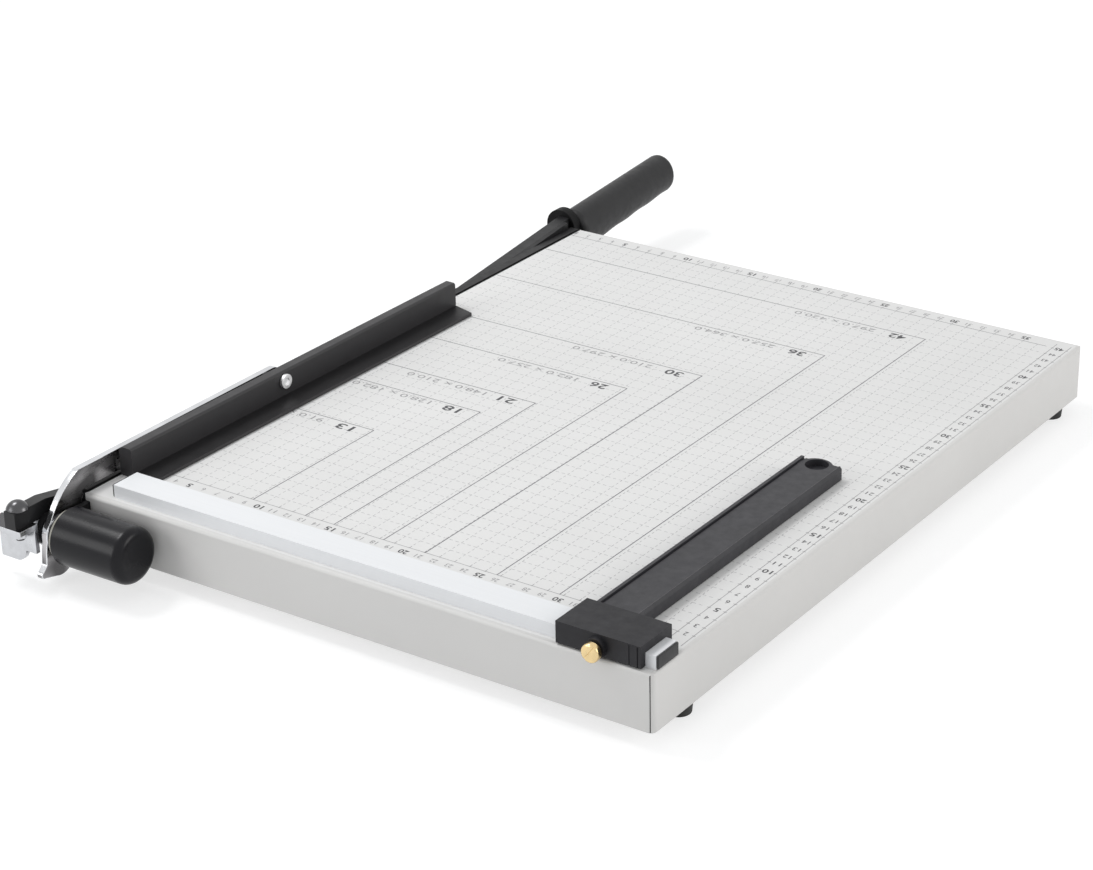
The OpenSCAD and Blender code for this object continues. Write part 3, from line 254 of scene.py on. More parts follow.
def make_materials(colours):
    """Every finish of the cutter by name."""
    guard, plastic, grip = colours.guard, colours.plastic, colours.grip
    return {
        "table_paint": powder_paint("table_paint", colours.paint, 0.42),
        "table_top": powder_paint("table_top", colours.top, 0.46, depth=0.00002, specular=0.3),
        "ink": moulded_plastic("print_ink", colours.ink, 0.5, strength=0.1),
        "line_ink": moulded_plastic("line_ink", scaled(colours.ink, 2.4), 0.5, strength=0.1),
        "grid_ink": moulded_plastic("grid_ink", colours.grid, 0.5, strength=0.1),
        "fence": anodised_white("fence_coat", colours.fence),
        "guard_paint": powder_paint("guard_paint", guard, 0.42, grain=700, strength=0.3, specular=0.32),
        # A darker copy of the guard's paint, painted shade on the guard's foot
        "guard_foot_painted_shade": powder_paint("guard_foot_painted_shade", scaled(guard, 0.4), 0.46, grain=700, strength=0.3, specular=0.26),
        "gauge_plastic": moulded_plastic("gauge_plastic", plastic, 0.46, specular=0.35),
        # A darker copy of the gauge plastic, painted shade on the gauge head
        "head_plastic_painted_shade": moulded_plastic("head_plastic_painted_shade", scaled(plastic, 0.62), 0.5, specular=0.26),
        "grip_plastic": moulded_plastic("grip_plastic", grip, 0.45, grain=1100, specular=0.3),
        # A darker copy of the grip plastic, painted shade on the grip's flange
        "flange_plastic_painted_shade": moulded_plastic("flange_plastic_painted_shade", scaled(grip, 0.3), 0.5, grain=1100, specular=0.12),
        "cap_plastic": moulded_plastic("cap_plastic", (0.02, 0.02, 0.022), 0.42, specular=0.35),
        "gloss_black": glossy_moulding("cover_gloss", (0.006, 0.006, 0.008)),
        "arm_paint": powder_paint("arm_paint", (0.014, 0.014, 0.015), 0.42, strength=0.25, specular=0.3),
        # Black paint of the bed knife, hinge plate and blade, also laid as painted shade on the tray's bend, in
        # its seams and on the blade's flanks
        "knife_black_and_shade": powder_paint("knife_black_and_shade", (0.011, 0.011, 0.012), 0.46, strength=0.2, specular=0.25),
        "blade_steel": drawn_metal("blade_steel", (0.34, 0.34, 0.35), 0.26),
        # The lever's chrome, and a darker, deeply clouded copy of it as painted reflection on the lever's faces,
        # which leaves the edges as a painted highlight
        "chrome": plated_chrome("lever_chrome", (0.72, 0.73, 0.75), 0.12),
        "chrome_painted_reflection": plated_chrome("lever_face_painted_reflection", (0.5, 0.49, 0.5), 0.26, 0.25),
        "zinc": plated_metal("zinc_plating", (0.58, 0.59, 0.61), 0.3),
        "bright_zinc": plated_metal("screw_plating", (0.88, 0.88, 0.89), 0.42),
        # A darker copy of the zinc, painted shade on the heel's top and its dome
        "zinc_painted_shade": plated_metal("heel_plating_painted_shade", (0.1, 0.1, 0.104), 0.24),
        "washer": moulded_plastic("washer_plastic", (0.3, 0.29, 0.25), 0.35, strength=0.15),
        "spring": drawn_metal("spring_wire", (0.4, 0.4, 0.42), 0.25, stretch=(1, 1, 1)),
        "brass": plated_metal("turned_brass", colours.brass, 0.2),
        "rubber": moulded_plastic("foot_rubber", (0.022, 0.022, 0.022), 0.7, grain=1600, strength=0.6),
    }


# Mesh helpers


def in_scene(name, data):
    """A new object of the scene with that data."""
    thing = bpy.data.objects.new(name, data)
    bpy.context.scene.collection.objects.link(thing)
    return thing


def evaluated_mesh(thing):
    """The plain mesh of an object as its modifiers leave it."""
    bpy.context.view_layer.update()
    return bpy.data.meshes.new_from_object(thing.evaluated_get(bpy.context.evaluated_depsgraph_get()))


def mesh_of(shape, name):
    """A new mesh from an edit mesh, which is freed."""
    mesh = bpy.data.meshes.new(name)
    shape.to_mesh(mesh)
    shape.free()
    return mesh


def new_piece(name, mesh, body, coat, *nodes):
    """Puts a mesh in the scene as a piece of that body, in place of the CAD nodes named.

    coat names its finish, or is None for a mesh that has its own materials.
    """
    piece = in_scene(name, mesh)
    if coat is not None:
        mesh.materials.clear()
        mesh.materials.append(finish(coat))
    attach(piece, body)
    if nodes:
        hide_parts(*nodes)
    return piece


def merged_copy(node):
    """A CAD node's mesh with its loose triangles joined and its flat faces made whole."""
    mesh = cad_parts[node].data.copy()
    shape = bmesh.new()
    shape.from_mesh(mesh)
    bmesh.ops.remove_doubles(shape, verts=shape.verts, dist=2e-6)
    bmesh.ops.dissolve_degenerate(shape, edges=shape.edges, dist=1e-6)
    bmesh.ops.dissolve_limit(shape, angle_limit=math.radians(0.6), verts=shape.verts, edges=shape.edges)
    shape.to_mesh(mesh)
    shape.free()
    mesh.name = node + "_mesh"
    return mesh


def soft_edges(piece, width, segments=2, angle=32.0):
    """Rounds the piece's edges sharper than that angle and keeps its flats flat."""
    piece.data.shade_smooth()
    bevel = piece.modifiers.new("soft edges", "BEVEL")
    bevel.width = width
    bevel.segments = segments
    bevel.limit_method = "ANGLE"
    bevel.angle_limit = math.radians(angle)
    bevel.use_clamp_overlap = True
    weights = piece.modifiers.new("flat faces", "WEIGHTED_NORMAL")
    weights.keep_sharp = True
    return piece


def refinish(piece, coat, chosen):
    """Gives the finish named to the piece's faces that chosen() picks."""
    piece.data.materials.append(finish(coat))
    for face in piece.data.polygons:
        if chosen(face):
            face.material_index = len(piece.data.materials) - 1


def softened(node, name, body, coat, width, segments=2, angle=32.0):
    """A CAD node with rounded edges and the finish named."""
    piece = new_piece(name, merged_copy(node), body, coat, node)
    return soft_edges(piece, width, segments, angle)


def lathed(profile, steps=64):
    """A mesh turned about X from (along, radius) points in millimetres, closed where the radius is 0."""
    shape = bmesh.new()
    rings = []
    for along, radius in profile:
        ring = []
        for i in range(steps if radius > 0 else 1):
            angle = 2 * math.pi * i / steps
            point = (along * MM, radius * MM * math.cos(angle), radius * MM * math.sin(angle))
            ring.append(shape.verts.new(point))
        rings.append(ring)
    for low, high in zip(rings, rings[1:]):
        if len(low) == len(high) == 1:
            continue
        for i in range(steps):
            j = (i + 1) % steps
            corners = [low[i % len(low)], low[j % len(low)], high[j % len(high)], high[i % len(high)]]
            shape.faces.new(list(dict.fromkeys(corners)))
    bmesh.ops.remove_doubles(shape, verts=shape.verts, dist=1e-7)
    bmesh.ops.recalc_face_normals(shape, faces=shape.faces)
    return mesh_of(shape, "turned")


def prism(outline, depth):
    """A mesh with that outline in x and y, from z = 0 to depth, all in millimetres."""
    shape = bmesh.new()
    low = [shape.verts.new((x * MM, y * MM, 0)) for x, y in outline]
    high = [shape.verts.new((x * MM, y * MM, depth * MM)) for x, y in outline]
    shape.faces.new(low[::-1])
    shape.faces.new(high)
    count = len(outline)
    for i in range(count):
        shape.faces.new([low[i], low[(i + 1) % count], high[(i + 1) % count], high[i]])
    bmesh.ops.recalc_face_normals(shape, faces=shape.faces)
    return mesh_of(shape, "prism")


def boxes(corners):
    """A mesh of boxes, each from its lowest and highest corner."""
    shape = bmesh.new()
    for low, high in corners:
        made = bmesh.ops.create_cube(shape, size=1)["verts"]
        bmesh.ops.scale(shape, verts=made, vec=high - low)
        bmesh.ops.translate(shape, verts=made, vec=(low + high) / 2)
    return mesh_of(shape, "boxes")


def cut_with(piece, cutter_mesh, place=Matrix()):
    """Takes the cutter's shape out of the piece."""
    cutter_mesh.transform(place)
    cutter = in_scene("cutter", cutter_mesh)
    cut = piece.modifiers.new("cut", "BOOLEAN")
    cut.object = cutter
    cut.operation = "DIFFERENCE"
    cut.solver = "EXACT"
    mesh = evaluated_mesh(piece)
    piece.modifiers.clear()
    piece.data = mesh
    bpy.data.objects.remove(cutter)
    bpy.data.meshes.remove(cutter_mesh)


def joined(meshes, name):
    """One mesh from several, with their materials kept."""
    shape = bmesh.new()
    whole = bpy.data.meshes.new(name)
    for mesh in meshes:
        first_slot = len(whole.materials)
        for material in mesh.materials:
            whole.materials.append(material)
        start = len(shape.faces)
        shape.from_mesh(mesh)
        shape.faces.ensure_lookup_table()
        for face in shape.faces[start:]:
            face.material_index += first_slot
    shape.to_mesh(whole)
    shape.free()
    return whole


def loose_boxes(mesh):
    """The lowest and highest corner of each loose shape in a mesh."""
    shape = bmesh.new()
    shape.from_mesh(mesh)
    unseen = set(shape.verts)
    found = []
    while unseen:
        edge = [unseen.pop()]
        corners = []
        while edge:
            vert = edge.pop()
            corners.append(vert.co.copy())
            for link in vert.link_edges:
                other = link.other_vert(vert)
                if other in unseen:
                    unseen.remove(other)
                    edge.append(other)
        low = Vector([min(c[i] for c in corners) for i in range(3)])
        high = Vector([max(c[i] for c in corners) for i in range(3)])
        found.append((low, high))
    shape.free()
    return sorted(found, key=lambda pair: tuple(pair[0]))


def screw_template(head_radius, head_height, shank_radius, length, cross):
    """A screw along X with its domed head at 0 and a cross or a hexagonal socket in it, in millimetres."""
    dome = head_height * 0.62
    profile = [
        (0.0, 0.0),
        (0.0, head_radius * 0.45),
        (dome * 0.3, head_radius * 0.78),
        (dome * 0.7, head_radius * 0.95),
        (dome, head_radius),
        (head_height, head_radius),
        (head_height, shank_radius),
        (length - 0.4, shank_radius),
        (length, shank_radius - 0.4),
        (length, 0.0),
    ]
    template = in_scene("screw", lathed(profile, 40))
    deep, clear = head_height * 0.5, 1
    if cross:
        long, thin = head_radius * 0.55, head_radius * 0.13
        for y, z in ((long, thin), (thin, long)):
            cut_with(template, boxes([(Vector((-clear, -y, -z)) * MM, Vector((deep, y, z)) * MM)]))
    else:
        across = head_radius * 0.5
        points = [(across * math.cos(math.pi * i / 3), across * math.sin(math.pi * i / 3)) for i in range(6)]
        along_x = Matrix.Translation((-clear * MM, 0, 0)) @ Matrix.Rotation(math.pi / 2, 4, "Y")
        cut_with(template, prism(points, deep + clear), along_x)
    return template


# Geometry Nodes


def new_tree(name, inputs):
    """An empty Geometry Nodes tree, its named inputs' sockets and its output node."""
    tree = bpy.data.node_groups.new(name, "GeometryNodeTree")
    tree.interface.new_socket("Geometry", in_out="INPUT", socket_type="NodeSocketGeometry")
    for label, kind in inputs.items():
        tree.interface.new_socket(label, in_out="INPUT", socket_type="NodeSocket" + kind)
    tree.interface.new_socket("Geometry", in_out="OUTPUT", socket_type="NodeSocketGeometry")
    return tree, tree.nodes.new("NodeGroupInput").outputs, tree.nodes.new("NodeGroupOutput")


def finish_tree(tree, given, result, geometry):
    """Ends a tree in Realize Instances and Set Material."""
    realize = add_node(tree, "GeometryNodeRealizeInstances", {0: geometry})
    inputs = {"Geometry": realize.outputs[0], "Material": given["Material"]}
    paint = add_node(tree, "GeometryNodeSetMaterial", inputs)
    tree.links.new(paint.outputs[0], result.inputs[0])
    return tree


MARK_INPUTS = {
    "Columns": "Int",
    "Column Step": "Float",
    "Rows": "Int",
    "Row Step": "Float",
    "Start": "Vector",
    "Mark Width": "Float",
    "Mark Length": "Float",
    "Material": "Material",
}


def marks_tree():
    """Flat marks on a field of columns and rows: ruler ticks, ruler lines and the dashes of the grid."""
    tree, given, result = new_tree("printed_marks", MARK_INPUTS)
    across = add_node(tree, "ShaderNodeCombineXYZ", {"X": given["Column Step"]}).outputs[0]
    along = add_node(tree, "ShaderNodeCombineXYZ", {"Y": given["Row Step"]}).outputs[0]
    points = {"Count": given["Columns"], "Start Location": given["Start"], "Offset": across}
    row = add_node(tree, "GeometryNodeMeshLine", points).outputs["Mesh"]
    column = add_node(tree, "GeometryNodeMeshLine", {"Count": given["Rows"], "Offset": along}).outputs["Mesh"]
    field = add_node(tree, "GeometryNodeInstanceOnPoints", {"Points": row, "Instance": column}).outputs[0]
    places = add_node(tree, "GeometryNodeRealizeInstances", {0: field}).outputs[0]
    inputs = {"Vertices X": 2, "Vertices Y": 2, "Size X": given["Mark Width"], "Size Y": given["Mark Length"]}
    mark = add_node(tree, "GeometryNodeMeshGrid", inputs).outputs["Mesh"]
    stamp = add_node(tree, "GeometryNodeInstanceOnPoints", {"Points": places, "Instance": mark})
    return finish_tree(tree, given, result, stamp.outputs[0])


def copies_tree():
    """One screw set at every vertex of the host mesh."""
    tree, given, result = new_tree("set_screws", {"Template": "Object", "Material": "Material"})
    template = add_node(tree, "GeometryNodeObjectInfo", {"Object": given["Template"]}).outputs["Geometry"]
    stamp = add_node(tree, "GeometryNodeInstanceOnPoints", {"Points": given["Geometry"], "Instance": template})
    return finish_tree(tree, given, result, stamp.outputs[0])


def coil_tree():
    """A round wire wound along Z."""
    inputs = {label: "Float" for label in ("Turns", "Coil Radius", "Length", "Wire Radius")}
    tree, given, result = new_tree("wound_wire", {**inputs, "Material": "Material"})
    coil = {
        "Resolution": 32,
        "Rotations": given["Turns"],
        "Start Radius": given["Coil Radius"],
        "End Radius": given["Coil Radius"],
        "Height": given["Length"],
    }
    coil = add_node(tree, "GeometryNodeCurveSpiral", coil).outputs["Curve"]
    wire = {"Resolution": 12, "Radius": given["Wire Radius"]}
    wire = add_node(tree, "GeometryNodeCurvePrimitiveCircle", wire).outputs["Curve"]
    tube = {"Curve": coil, "Profile Curve": wire, "Fill Caps": True}
    tube = add_node(tree, "GeometryNodeCurveToMesh", tube).outputs["Mesh"]
    smooth = add_node(tree, "GeometryNodeSetShadeSmooth", {"Geometry": tube})
    return finish_tree(tree, given, result, smooth.outputs[0])


def run_tree(tree, values, points=((0, 0, 0),)):
    """The plain mesh that a tree makes from its inputs, each set by its socket's identifier."""
    mesh = bpy.data.meshes.new("host")
    mesh.from_pydata([tuple(p) for p in points], [], [])
    host = in_scene("host", mesh)
    modifier = host.modifiers.new(tree.name, "NODES")
    modifier.node_group = tree
    for item in tree.interface.items_tree:
        if item.in_out == "INPUT" and item.name in values:
            modifier[item.identifier] = values[item.name]
    made = evaluated_mesh(host)
    host.modifiers.clear()
    bpy.data.objects.remove(host)
    return made


STORE = {}


def store():
    """The finishes and trees, made once."""
    if not STORE:
        STORE["materials"] = make_materials(bpy.context.scene.cutter_colours)
        STORE["marks"] = marks_tree()
        STORE["copies"] = copies_tree()
        STORE["coil"] = coil_tree()
    return STORE


def finish(name):
    """The cutter's finish of that name."""
    return store()["materials"][name]


# Table and print


class OBJECT_OT_cutter_table(bpy.types.Operator):
    """Makes the painted steel table with its printed top"""

    bl_idname = "object.cutter_table"
    bl_label = "Steel table"

    # Where the band of painted shade along the bed knife ends, and how far down it reaches in metres
    BAND_END_X, BAND_DEPTH = 8.7, 0.003
    # The seam beside each right corner: its place in from the right wall, its depth, its foot and its top
    SEAM_FAR, SEAM_NEAR, SEAM_DEPTH = 2.2, 1.75, 0.7
    SEAM_FOOT_Z, SEAM_TOP_Z = -60, -2.2

    def execute(self, context):
        sizes = context.scene.cutter_sizes
        tray = new_piece("table_tray", merged_copy("base_tray"), "table", "table_paint", "base_tray")
        seams = []
        for wall_y in (TABLE_FRONT, TABLE_BACK):
            low = at(TABLE_RIGHT - self.SEAM_FAR, wall_y - self.SEAM_DEPTH, self.SEAM_FOOT_Z)
            high = at(TABLE_RIGHT - self.SEAM_NEAR, wall_y + self.SEAM_DEPTH, self.SEAM_TOP_Z)
            seams.append((low, high))
        cut_with(tray, boxes(seams))
        top, band_end = TABLE_TOP_Z * MM, at(self.BAND_END_X, 0, 0).x

        # The tray's bend beside the bed knife and the insides of the seams take the black finish as painted shade
        def is_black(face):
            middle = face.center
            if middle.x < band_end and middle.z > top - self.BAND_DEPTH:
                if abs(face.normal.y) < 0.1 and face.area > 1e-4:
                    return True
            return any(all(low[i] - 1e-6 < middle[i] < high[i] + 1e-6 for i in range(3)) for low, high in seams)

        refinish(tray, "table_top", lambda face: face.normal.z > 0.999 and abs(face.center.z - top) < 1e-5)
        refinish(tray, "knife_black_and_shade", is_black)
        soft_edges(tray, sizes.edge_softness * 0.5, 1, 50)
        softened("cross_braces", "table_braces", "table", "table_paint", sizes.edge_softness)
        softened("hinge_lug", "hinge_plate", "table", "knife_black_and_shade", sizes.edge_softness)
        softened("bed_knife", "bed_knife_bar", "table", "knife_black_and_shade", sizes.edge_softness * 0.5)
        return {"FINISHED"}


class OBJECT_OT_cutter_print(bpy.types.Operator):
    """Prints the rulers, the sheet outlines and the dashed grid on the table"""

    bl_idname = "object.cutter_print"
    bl_label = "Table print"

    # Width and length of each sheet, and how far its outline stands outside it
    SHEETS = ((297, 420), (257, 364), (210, 297), (182, 257), (148, 210), (128, 182), (91, 128))
    OUTLINE_GAP = 0.6
    # Captions of the outlines: how far in from the corner in x and y, height, width and weight
    LENGTH_CAPTION = (16.4, 2.4, 6.4, 11.6, 0.025)
    SIZE_CAPTION, SHORT_CAPTION = (61.5, 2.9, 4.6, 58.0, 0), (46, 2.9, 4.6, 26.0, 0)
    # Outlines narrower than this have the short caption
    NARROW = 100
    # The rulers' lines, where they end, and where their numerals stand
    LEFT_X = 8.9
    TICK_LINE_Y, FRONT_END_X, FRONT_NUMERALS_Y = 20.4, 369, 17.0
    BACK_LINE_Y, BACK_END_X, BACK_NUMERALS_Y = 450.6, 366, 457.4
    RIGHT_LINES_X, RIGHT_ENDS_Y, RIGHT_NUMERALS_X = (370.2, 379.8), (8, 457), 375
    # Columns and rows of the dashed grid, where its first dashes start, and its gap to the rulers
    COLUMNS, ROWS = 35, 42
    GRID_X, GRID_Y = 8.0, 20.0
    GAP_RIGHT, GAP_BACK = 6, 2
    # A numeral's height as a share of its font size, and the extra weight of a strong one
    NUMERAL_SHARE = 0.7
    STRONG_WEIGHT = 0.03

    @staticmethod
    def raised(x, y, height):
        """A point that height in metres above the table top."""
        place = at(x, y, 0)
        place.z += height
        return tuple(place)

    def marks(self, material, columns, column_step, rows, row_step, start, width, length):
        """Flat marks in columns and rows, with their steps and sizes in metres."""
        values = (columns, column_step, rows, row_step, start, width, length, material)
        return run_tree(store()["marks"], dict(zip(MARK_INPUTS, values)))

    def line(self, material, x0, y0, x1, y1, width, height):
        """One straight line along x or y."""
        across, along = abs(x1 - x0) * MM, abs(y1 - y0) * MM
        middle = self.raised((x0 + x1) / 2, (y0 + y1) / 2, height)
        return self.marks(material, 1, 0.0, 1, 0.0, middle, max(across, width), max(along, width))

    def words(self, text, x, y, tall, wide, weight, height, material):
        """Plain numerals that read from the handle's side, centred at x and standing on y."""
        curve = bpy.data.curves.new("numeral", "FONT")
        curve.body = text
        curve.size = tall * MM / self.NUMERAL_SHARE
        curve.offset = tall * MM * weight
        curve.resolution_u = 3
        label = in_scene("numeral", curve)
        mesh = evaluated_mesh(label)
        bpy.data.objects.remove(label)
        bpy.data.curves.remove(curve)
        xs = [v.co.x for v in mesh.vertices]
        centre = Matrix.Translation((-(min(xs) + max(xs)) / 2, 0, 0))
        stretch = Matrix.Diagonal((wide * MM / (max(xs) - min(xs)), 1, 1, 1))
        turned = Matrix.Rotation(math.pi, 4, "Z")
        mesh.transform(Matrix.Translation(self.raised(x, y, height)) @ turned @ stretch @ centre)
        mesh.materials.clear()
        mesh.materials.append(material)
        return mesh

    def grid(self, sizes):
        """The dashed lines at every centimetre, up the table and across it."""
        pale, low = finish("grid_ink"), sizes.print_height / 2
        step, dash, width, length = sizes.grid_step, sizes.dash_step, sizes.grid_width, sizes.dash_length
        start_x, start_y = self.GRID_X + length / MM / 2, self.GRID_Y + length / MM / 2
        across = round((self.RIGHT_LINES_X[0] - self.GAP_RIGHT - start_x) * MM / dash) + 1
        up = round((self.BACK_LINE_Y - self.GAP_BACK - start_y) * MM / dash) + 1
        return [
            self.marks(pale, self.COLUMNS, step, up, dash, self.raised(20, start_y, low), width, length),
            self.marks(pale, across, dash, self.ROWS, step, self.raised(start_x, 30, low), length, width),
        ]

    def outlines(self, sizes):
        """The sheets' outlines, each with its length in centimetres and its size in millimetres."""
        fine, low, width = finish("line_ink"), sizes.print_height, sizes.outline_width
        made = []
        for wide, long in self.SHEETS:
            x = wide + self.OUTLINE_GAP
            made.append(self.line(fine, x, self.TICK_LINE_Y, x, long, width, low))
            made.append(self.line(fine, self.LEFT_X, long, x, long, width * 0.9, low))
            size = (f"{wide}.0 x {long}.0", self.SIZE_CAPTION, finish("grid_ink"))
            if wide < self.NARROW:
                size = (f"{wide}.0 x", self.SHORT_CAPTION, finish("grid_ink"))
            for text, layout, ink in ((str(round(long / 10)), self.LENGTH_CAPTION, finish("ink")), size):
                in_x, in_y, tall, spread, weight = layout
                made.append(self.words(text, wide - in_x, long - in_y, tall, spread, weight, low, ink))
        return made

    def numerals(self, sizes, centimetres, place, plain_height, digit_widths, plain_ink):
        """A ruler's numbers, every fifth one strong. digit_widths are for a plain and a strong number."""
        made = []
        for centimetre in centimetres:
            strong = centimetre % 5 == 0
            x, y = place(centimetre * 10)
            tall = sizes.numeral_height / MM * (1.1 if strong else plain_height)
            wide = len(str(centimetre)) * digit_widths[strong]
            weight, ink = (self.STRONG_WEIGHT, finish("ink")) if strong else (0, plain_ink)
            made.append(self.words(str(centimetre), x, y, tall, wide, weight, sizes.print_height, ink))
        return made

    def rulers(self, sizes):
        """The front, right and back rulers."""
        ink, pale = finish("ink"), finish("grid_ink")
        step, width, low = sizes.grid_step, sizes.ruler_width, sizes.print_height
        tick_y, back_y, columns = self.TICK_LINE_Y, self.BACK_LINE_Y, self.COLUMNS
        made = [
            self.line(pale, self.LEFT_X, tick_y, self.FRONT_END_X, tick_y, width, low),
            self.marks(pale, columns, step, 1, 0.0, self.raised(20, tick_y + 1.2, low), width, 0.0024),
        ]
        front = (sizes, range(4, columns + 1), lambda along: (along, self.FRONT_NUMERALS_Y))
        made += self.numerals(*front, 1, (2.1, 2.9), pale)
        for x in self.RIGHT_LINES_X:
            made.append(self.line(pale, x, self.RIGHT_ENDS_Y[0], x, self.RIGHT_ENDS_Y[1], width, low))
            made.append(self.marks(pale, 1, 0.0, 44, step, self.raised(x, 20, low), 0.0022, width))
        half = sizes.numeral_height / MM / 2
        right = (sizes, range(2, 46), lambda along: (self.RIGHT_NUMERALS_X, along + half))
        made += self.numerals(*right, 1, (2.2, 2.9), ink)
        made.append(self.line(finish("line_ink"), self.LEFT_X, back_y, self.BACK_END_X, back_y, width, low))
        made.append(self.marks(pale, columns, step, 1, 0.0, self.raised(10, back_y + 2.2, low), width, 0.0044))
        back = (sizes, range(1, columns + 1), lambda along: (along - 0.6, self.BACK_NUMERALS_Y))
        made += self.numerals(*back, 0.95, (2.0, 2.8), pale)
        return made

    def execute(self, context):
        sizes = context.scene.cutter_sizes
        parts = self.grid(sizes) + self.outlines(sizes) + self.rulers(sizes)
        new_piece("table_print", joined(parts, "table_print"), "table", None)
        return {"FINISHED"}


# Fence, gauge, guard, pivot, arm and fasteners


class OBJECT_OT_cutter_fence(bpy.types.Operator):
    """Makes the white fence rail and its end caps"""

    bl_idname = "object.cutter_fence"
    bl_label = "Fence"

    def execute(self, context):
        soft = context.scene.cutter_sizes.edge_softness
        softened("fence_rail", "fence_profile", "table", "fence", soft * 1.3, 3)
        for side in ("left", "right"):
            softened("fence_cap_" + side, "fence_end_" + side, "table", "cap_plastic", soft * 3.4, 1)
        return {"FINISHED"}


class OBJECT_OT_cutter_gauge(bpy.types.Operator):
    """Makes the paper gauge with its head, arm and clamping pad"""

    bl_idname = "object.cutter_gauge"
    bl_label = "Paper gauge"

    HEAD_FRONT_Y = -23.4
    # Place along the head and width in metres of the upright grooves in its front face
    GROOVES = ((0.86, 0.0005), (0.955, 0.0007))

    def execute(self, context):
        sizes = context.scene.cutter_sizes
        # The head takes a darker copy of the gauge plastic as painted shade
        head = new_piece("gauge_block", merged_copy("gauge_head"), "gauge", "head_plastic_painted_shade", "gauge_head")
        low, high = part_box("gauge_head")
        face_y = at(0, self.HEAD_FRONT_Y, 0).y
        grooves = []
        for share, width in self.GROOVES:
            x = low[0] + share * (high[0] - low[0])
            foot = Vector((x, face_y - 0.001, low[2] - 0.001))
            grooves.append((foot, Vector((x + width, face_y + 0.0005, high[2] - 0.0006))))
        cut_with(head, boxes(grooves))
        soft_edges(head, sizes.plastic_softness, 3)
        softened("gauge_arm", "gauge_bar", "gauge", "gauge_plastic", sizes.plastic_softness * 0.8, 3)
        softened("gauge_pad", "gauge_clamp_pad", "gauge", "brass", sizes.edge_softness * 0.5)
        return {"FINISHED"}


class OBJECT_OT_cutter_thumbscrew(bpy.types.Operator):
    """Makes the turned brass thumbscrew with its slot"""

    bl_idname = "object.cutter_thumbscrew"
    bl_label = "Brass thumbscrew"

    # Place along the screw and radius of the head's turned outline
    HEAD = (
        (0.0, 0.0),
        (0.0, 3.0),
        (0.06, 4.1),
        (0.3, 4.75),
        (0.8, 5.15),
        (1.5, 5.3),
        (3.6, 5.3),
        (4.1, 5.1),
        (4.3, 4.6),
        (4.3, 3.2),
        (4.5, 2.5),
    )
    SHANK_RADIUS = 2.5
    SLOT_HALF_WIDTH, SLOT_DEPTH, SLOT_TURN = 0.0006, 0.0012, math.radians(38)

    def execute(self, context):
        low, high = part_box("gauge_thumbscrew")
        x, z = (low[0] + high[0]) / 2, (low[2] + high[2]) / 2
        length = (high[1] - low[1]) / MM
        shank = [(length - 0.5, self.SHANK_RADIUS), (length, self.SHANK_RADIUS - 0.4), (length, 0.0)]
        mesh = lathed([*self.HEAD, *shank], 96)
        screw = new_piece("brass_screw", mesh, "thumbscrew", "brass", "gauge_thumbscrew")
        mesh.transform(Matrix.Translation((x, low[1], z)) @ Matrix.Rotation(math.pi / 2, 4, "Z"))
        start = Vector((-self.SLOT_HALF_WIDTH, low[1] - 0.001, -0.008))
        slot = boxes([(start, Vector((self.SLOT_HALF_WIDTH, low[1] + self.SLOT_DEPTH, 0.008)))])
        cut_with(screw, slot, Matrix.Translation((x, 0, z)) @ Matrix.Rotation(self.SLOT_TURN, 4, "Y"))
        soft_edges(screw, context.scene.cutter_sizes.edge_softness * 0.4, 2, 40)
        return {"FINISHED"}


class OBJECT_OT_cutter_guard(bpy.types.Operator):
    """Makes the folded guard that presses the paper, with its lever and screw"""

    bl_idname = "object.cutter_guard"
    bl_label = "Pressing guard"

    FOOT_TOP_Z = 5.0

    def execute(self, context):
        soft = context.scene.cutter_sizes.edge_softness
        bar = softened("guard", "guard_bar_sheet", "guard_bar", "guard_paint", soft, 3)
        foot_top = at(0, 0, self.FOOT_TOP_Z).z
        # The foot's upward faces take a darker copy of the guard's paint as painted shade
        refinish(bar, "guard_foot_painted_shade", lambda face: face.normal.z > 0.5 and face.center.z < foot_top)
        # Painted reflection and highlight: the lever's faces take a darker, deeply clouded copy of its chrome, and
        # its upper edges and all its rounded ones take the brighter chrome
        lever = softened("guard_lever", "lever_plate", "lever", "chrome_painted_reflection", soft * 1.6, 3)
        refinish(lever, "chrome", lambda face: abs(face.normal.x) < 0.9 and face.normal.z > 0.35)
        lever.modifiers["soft edges"].material = 1
        softened("guard_spacer", "lever_sleeve", "lever", "zinc", soft)
        softened("guard_screw", "lever_screw", "lever", "bright_zinc", soft)
        return {"FINISHED"}


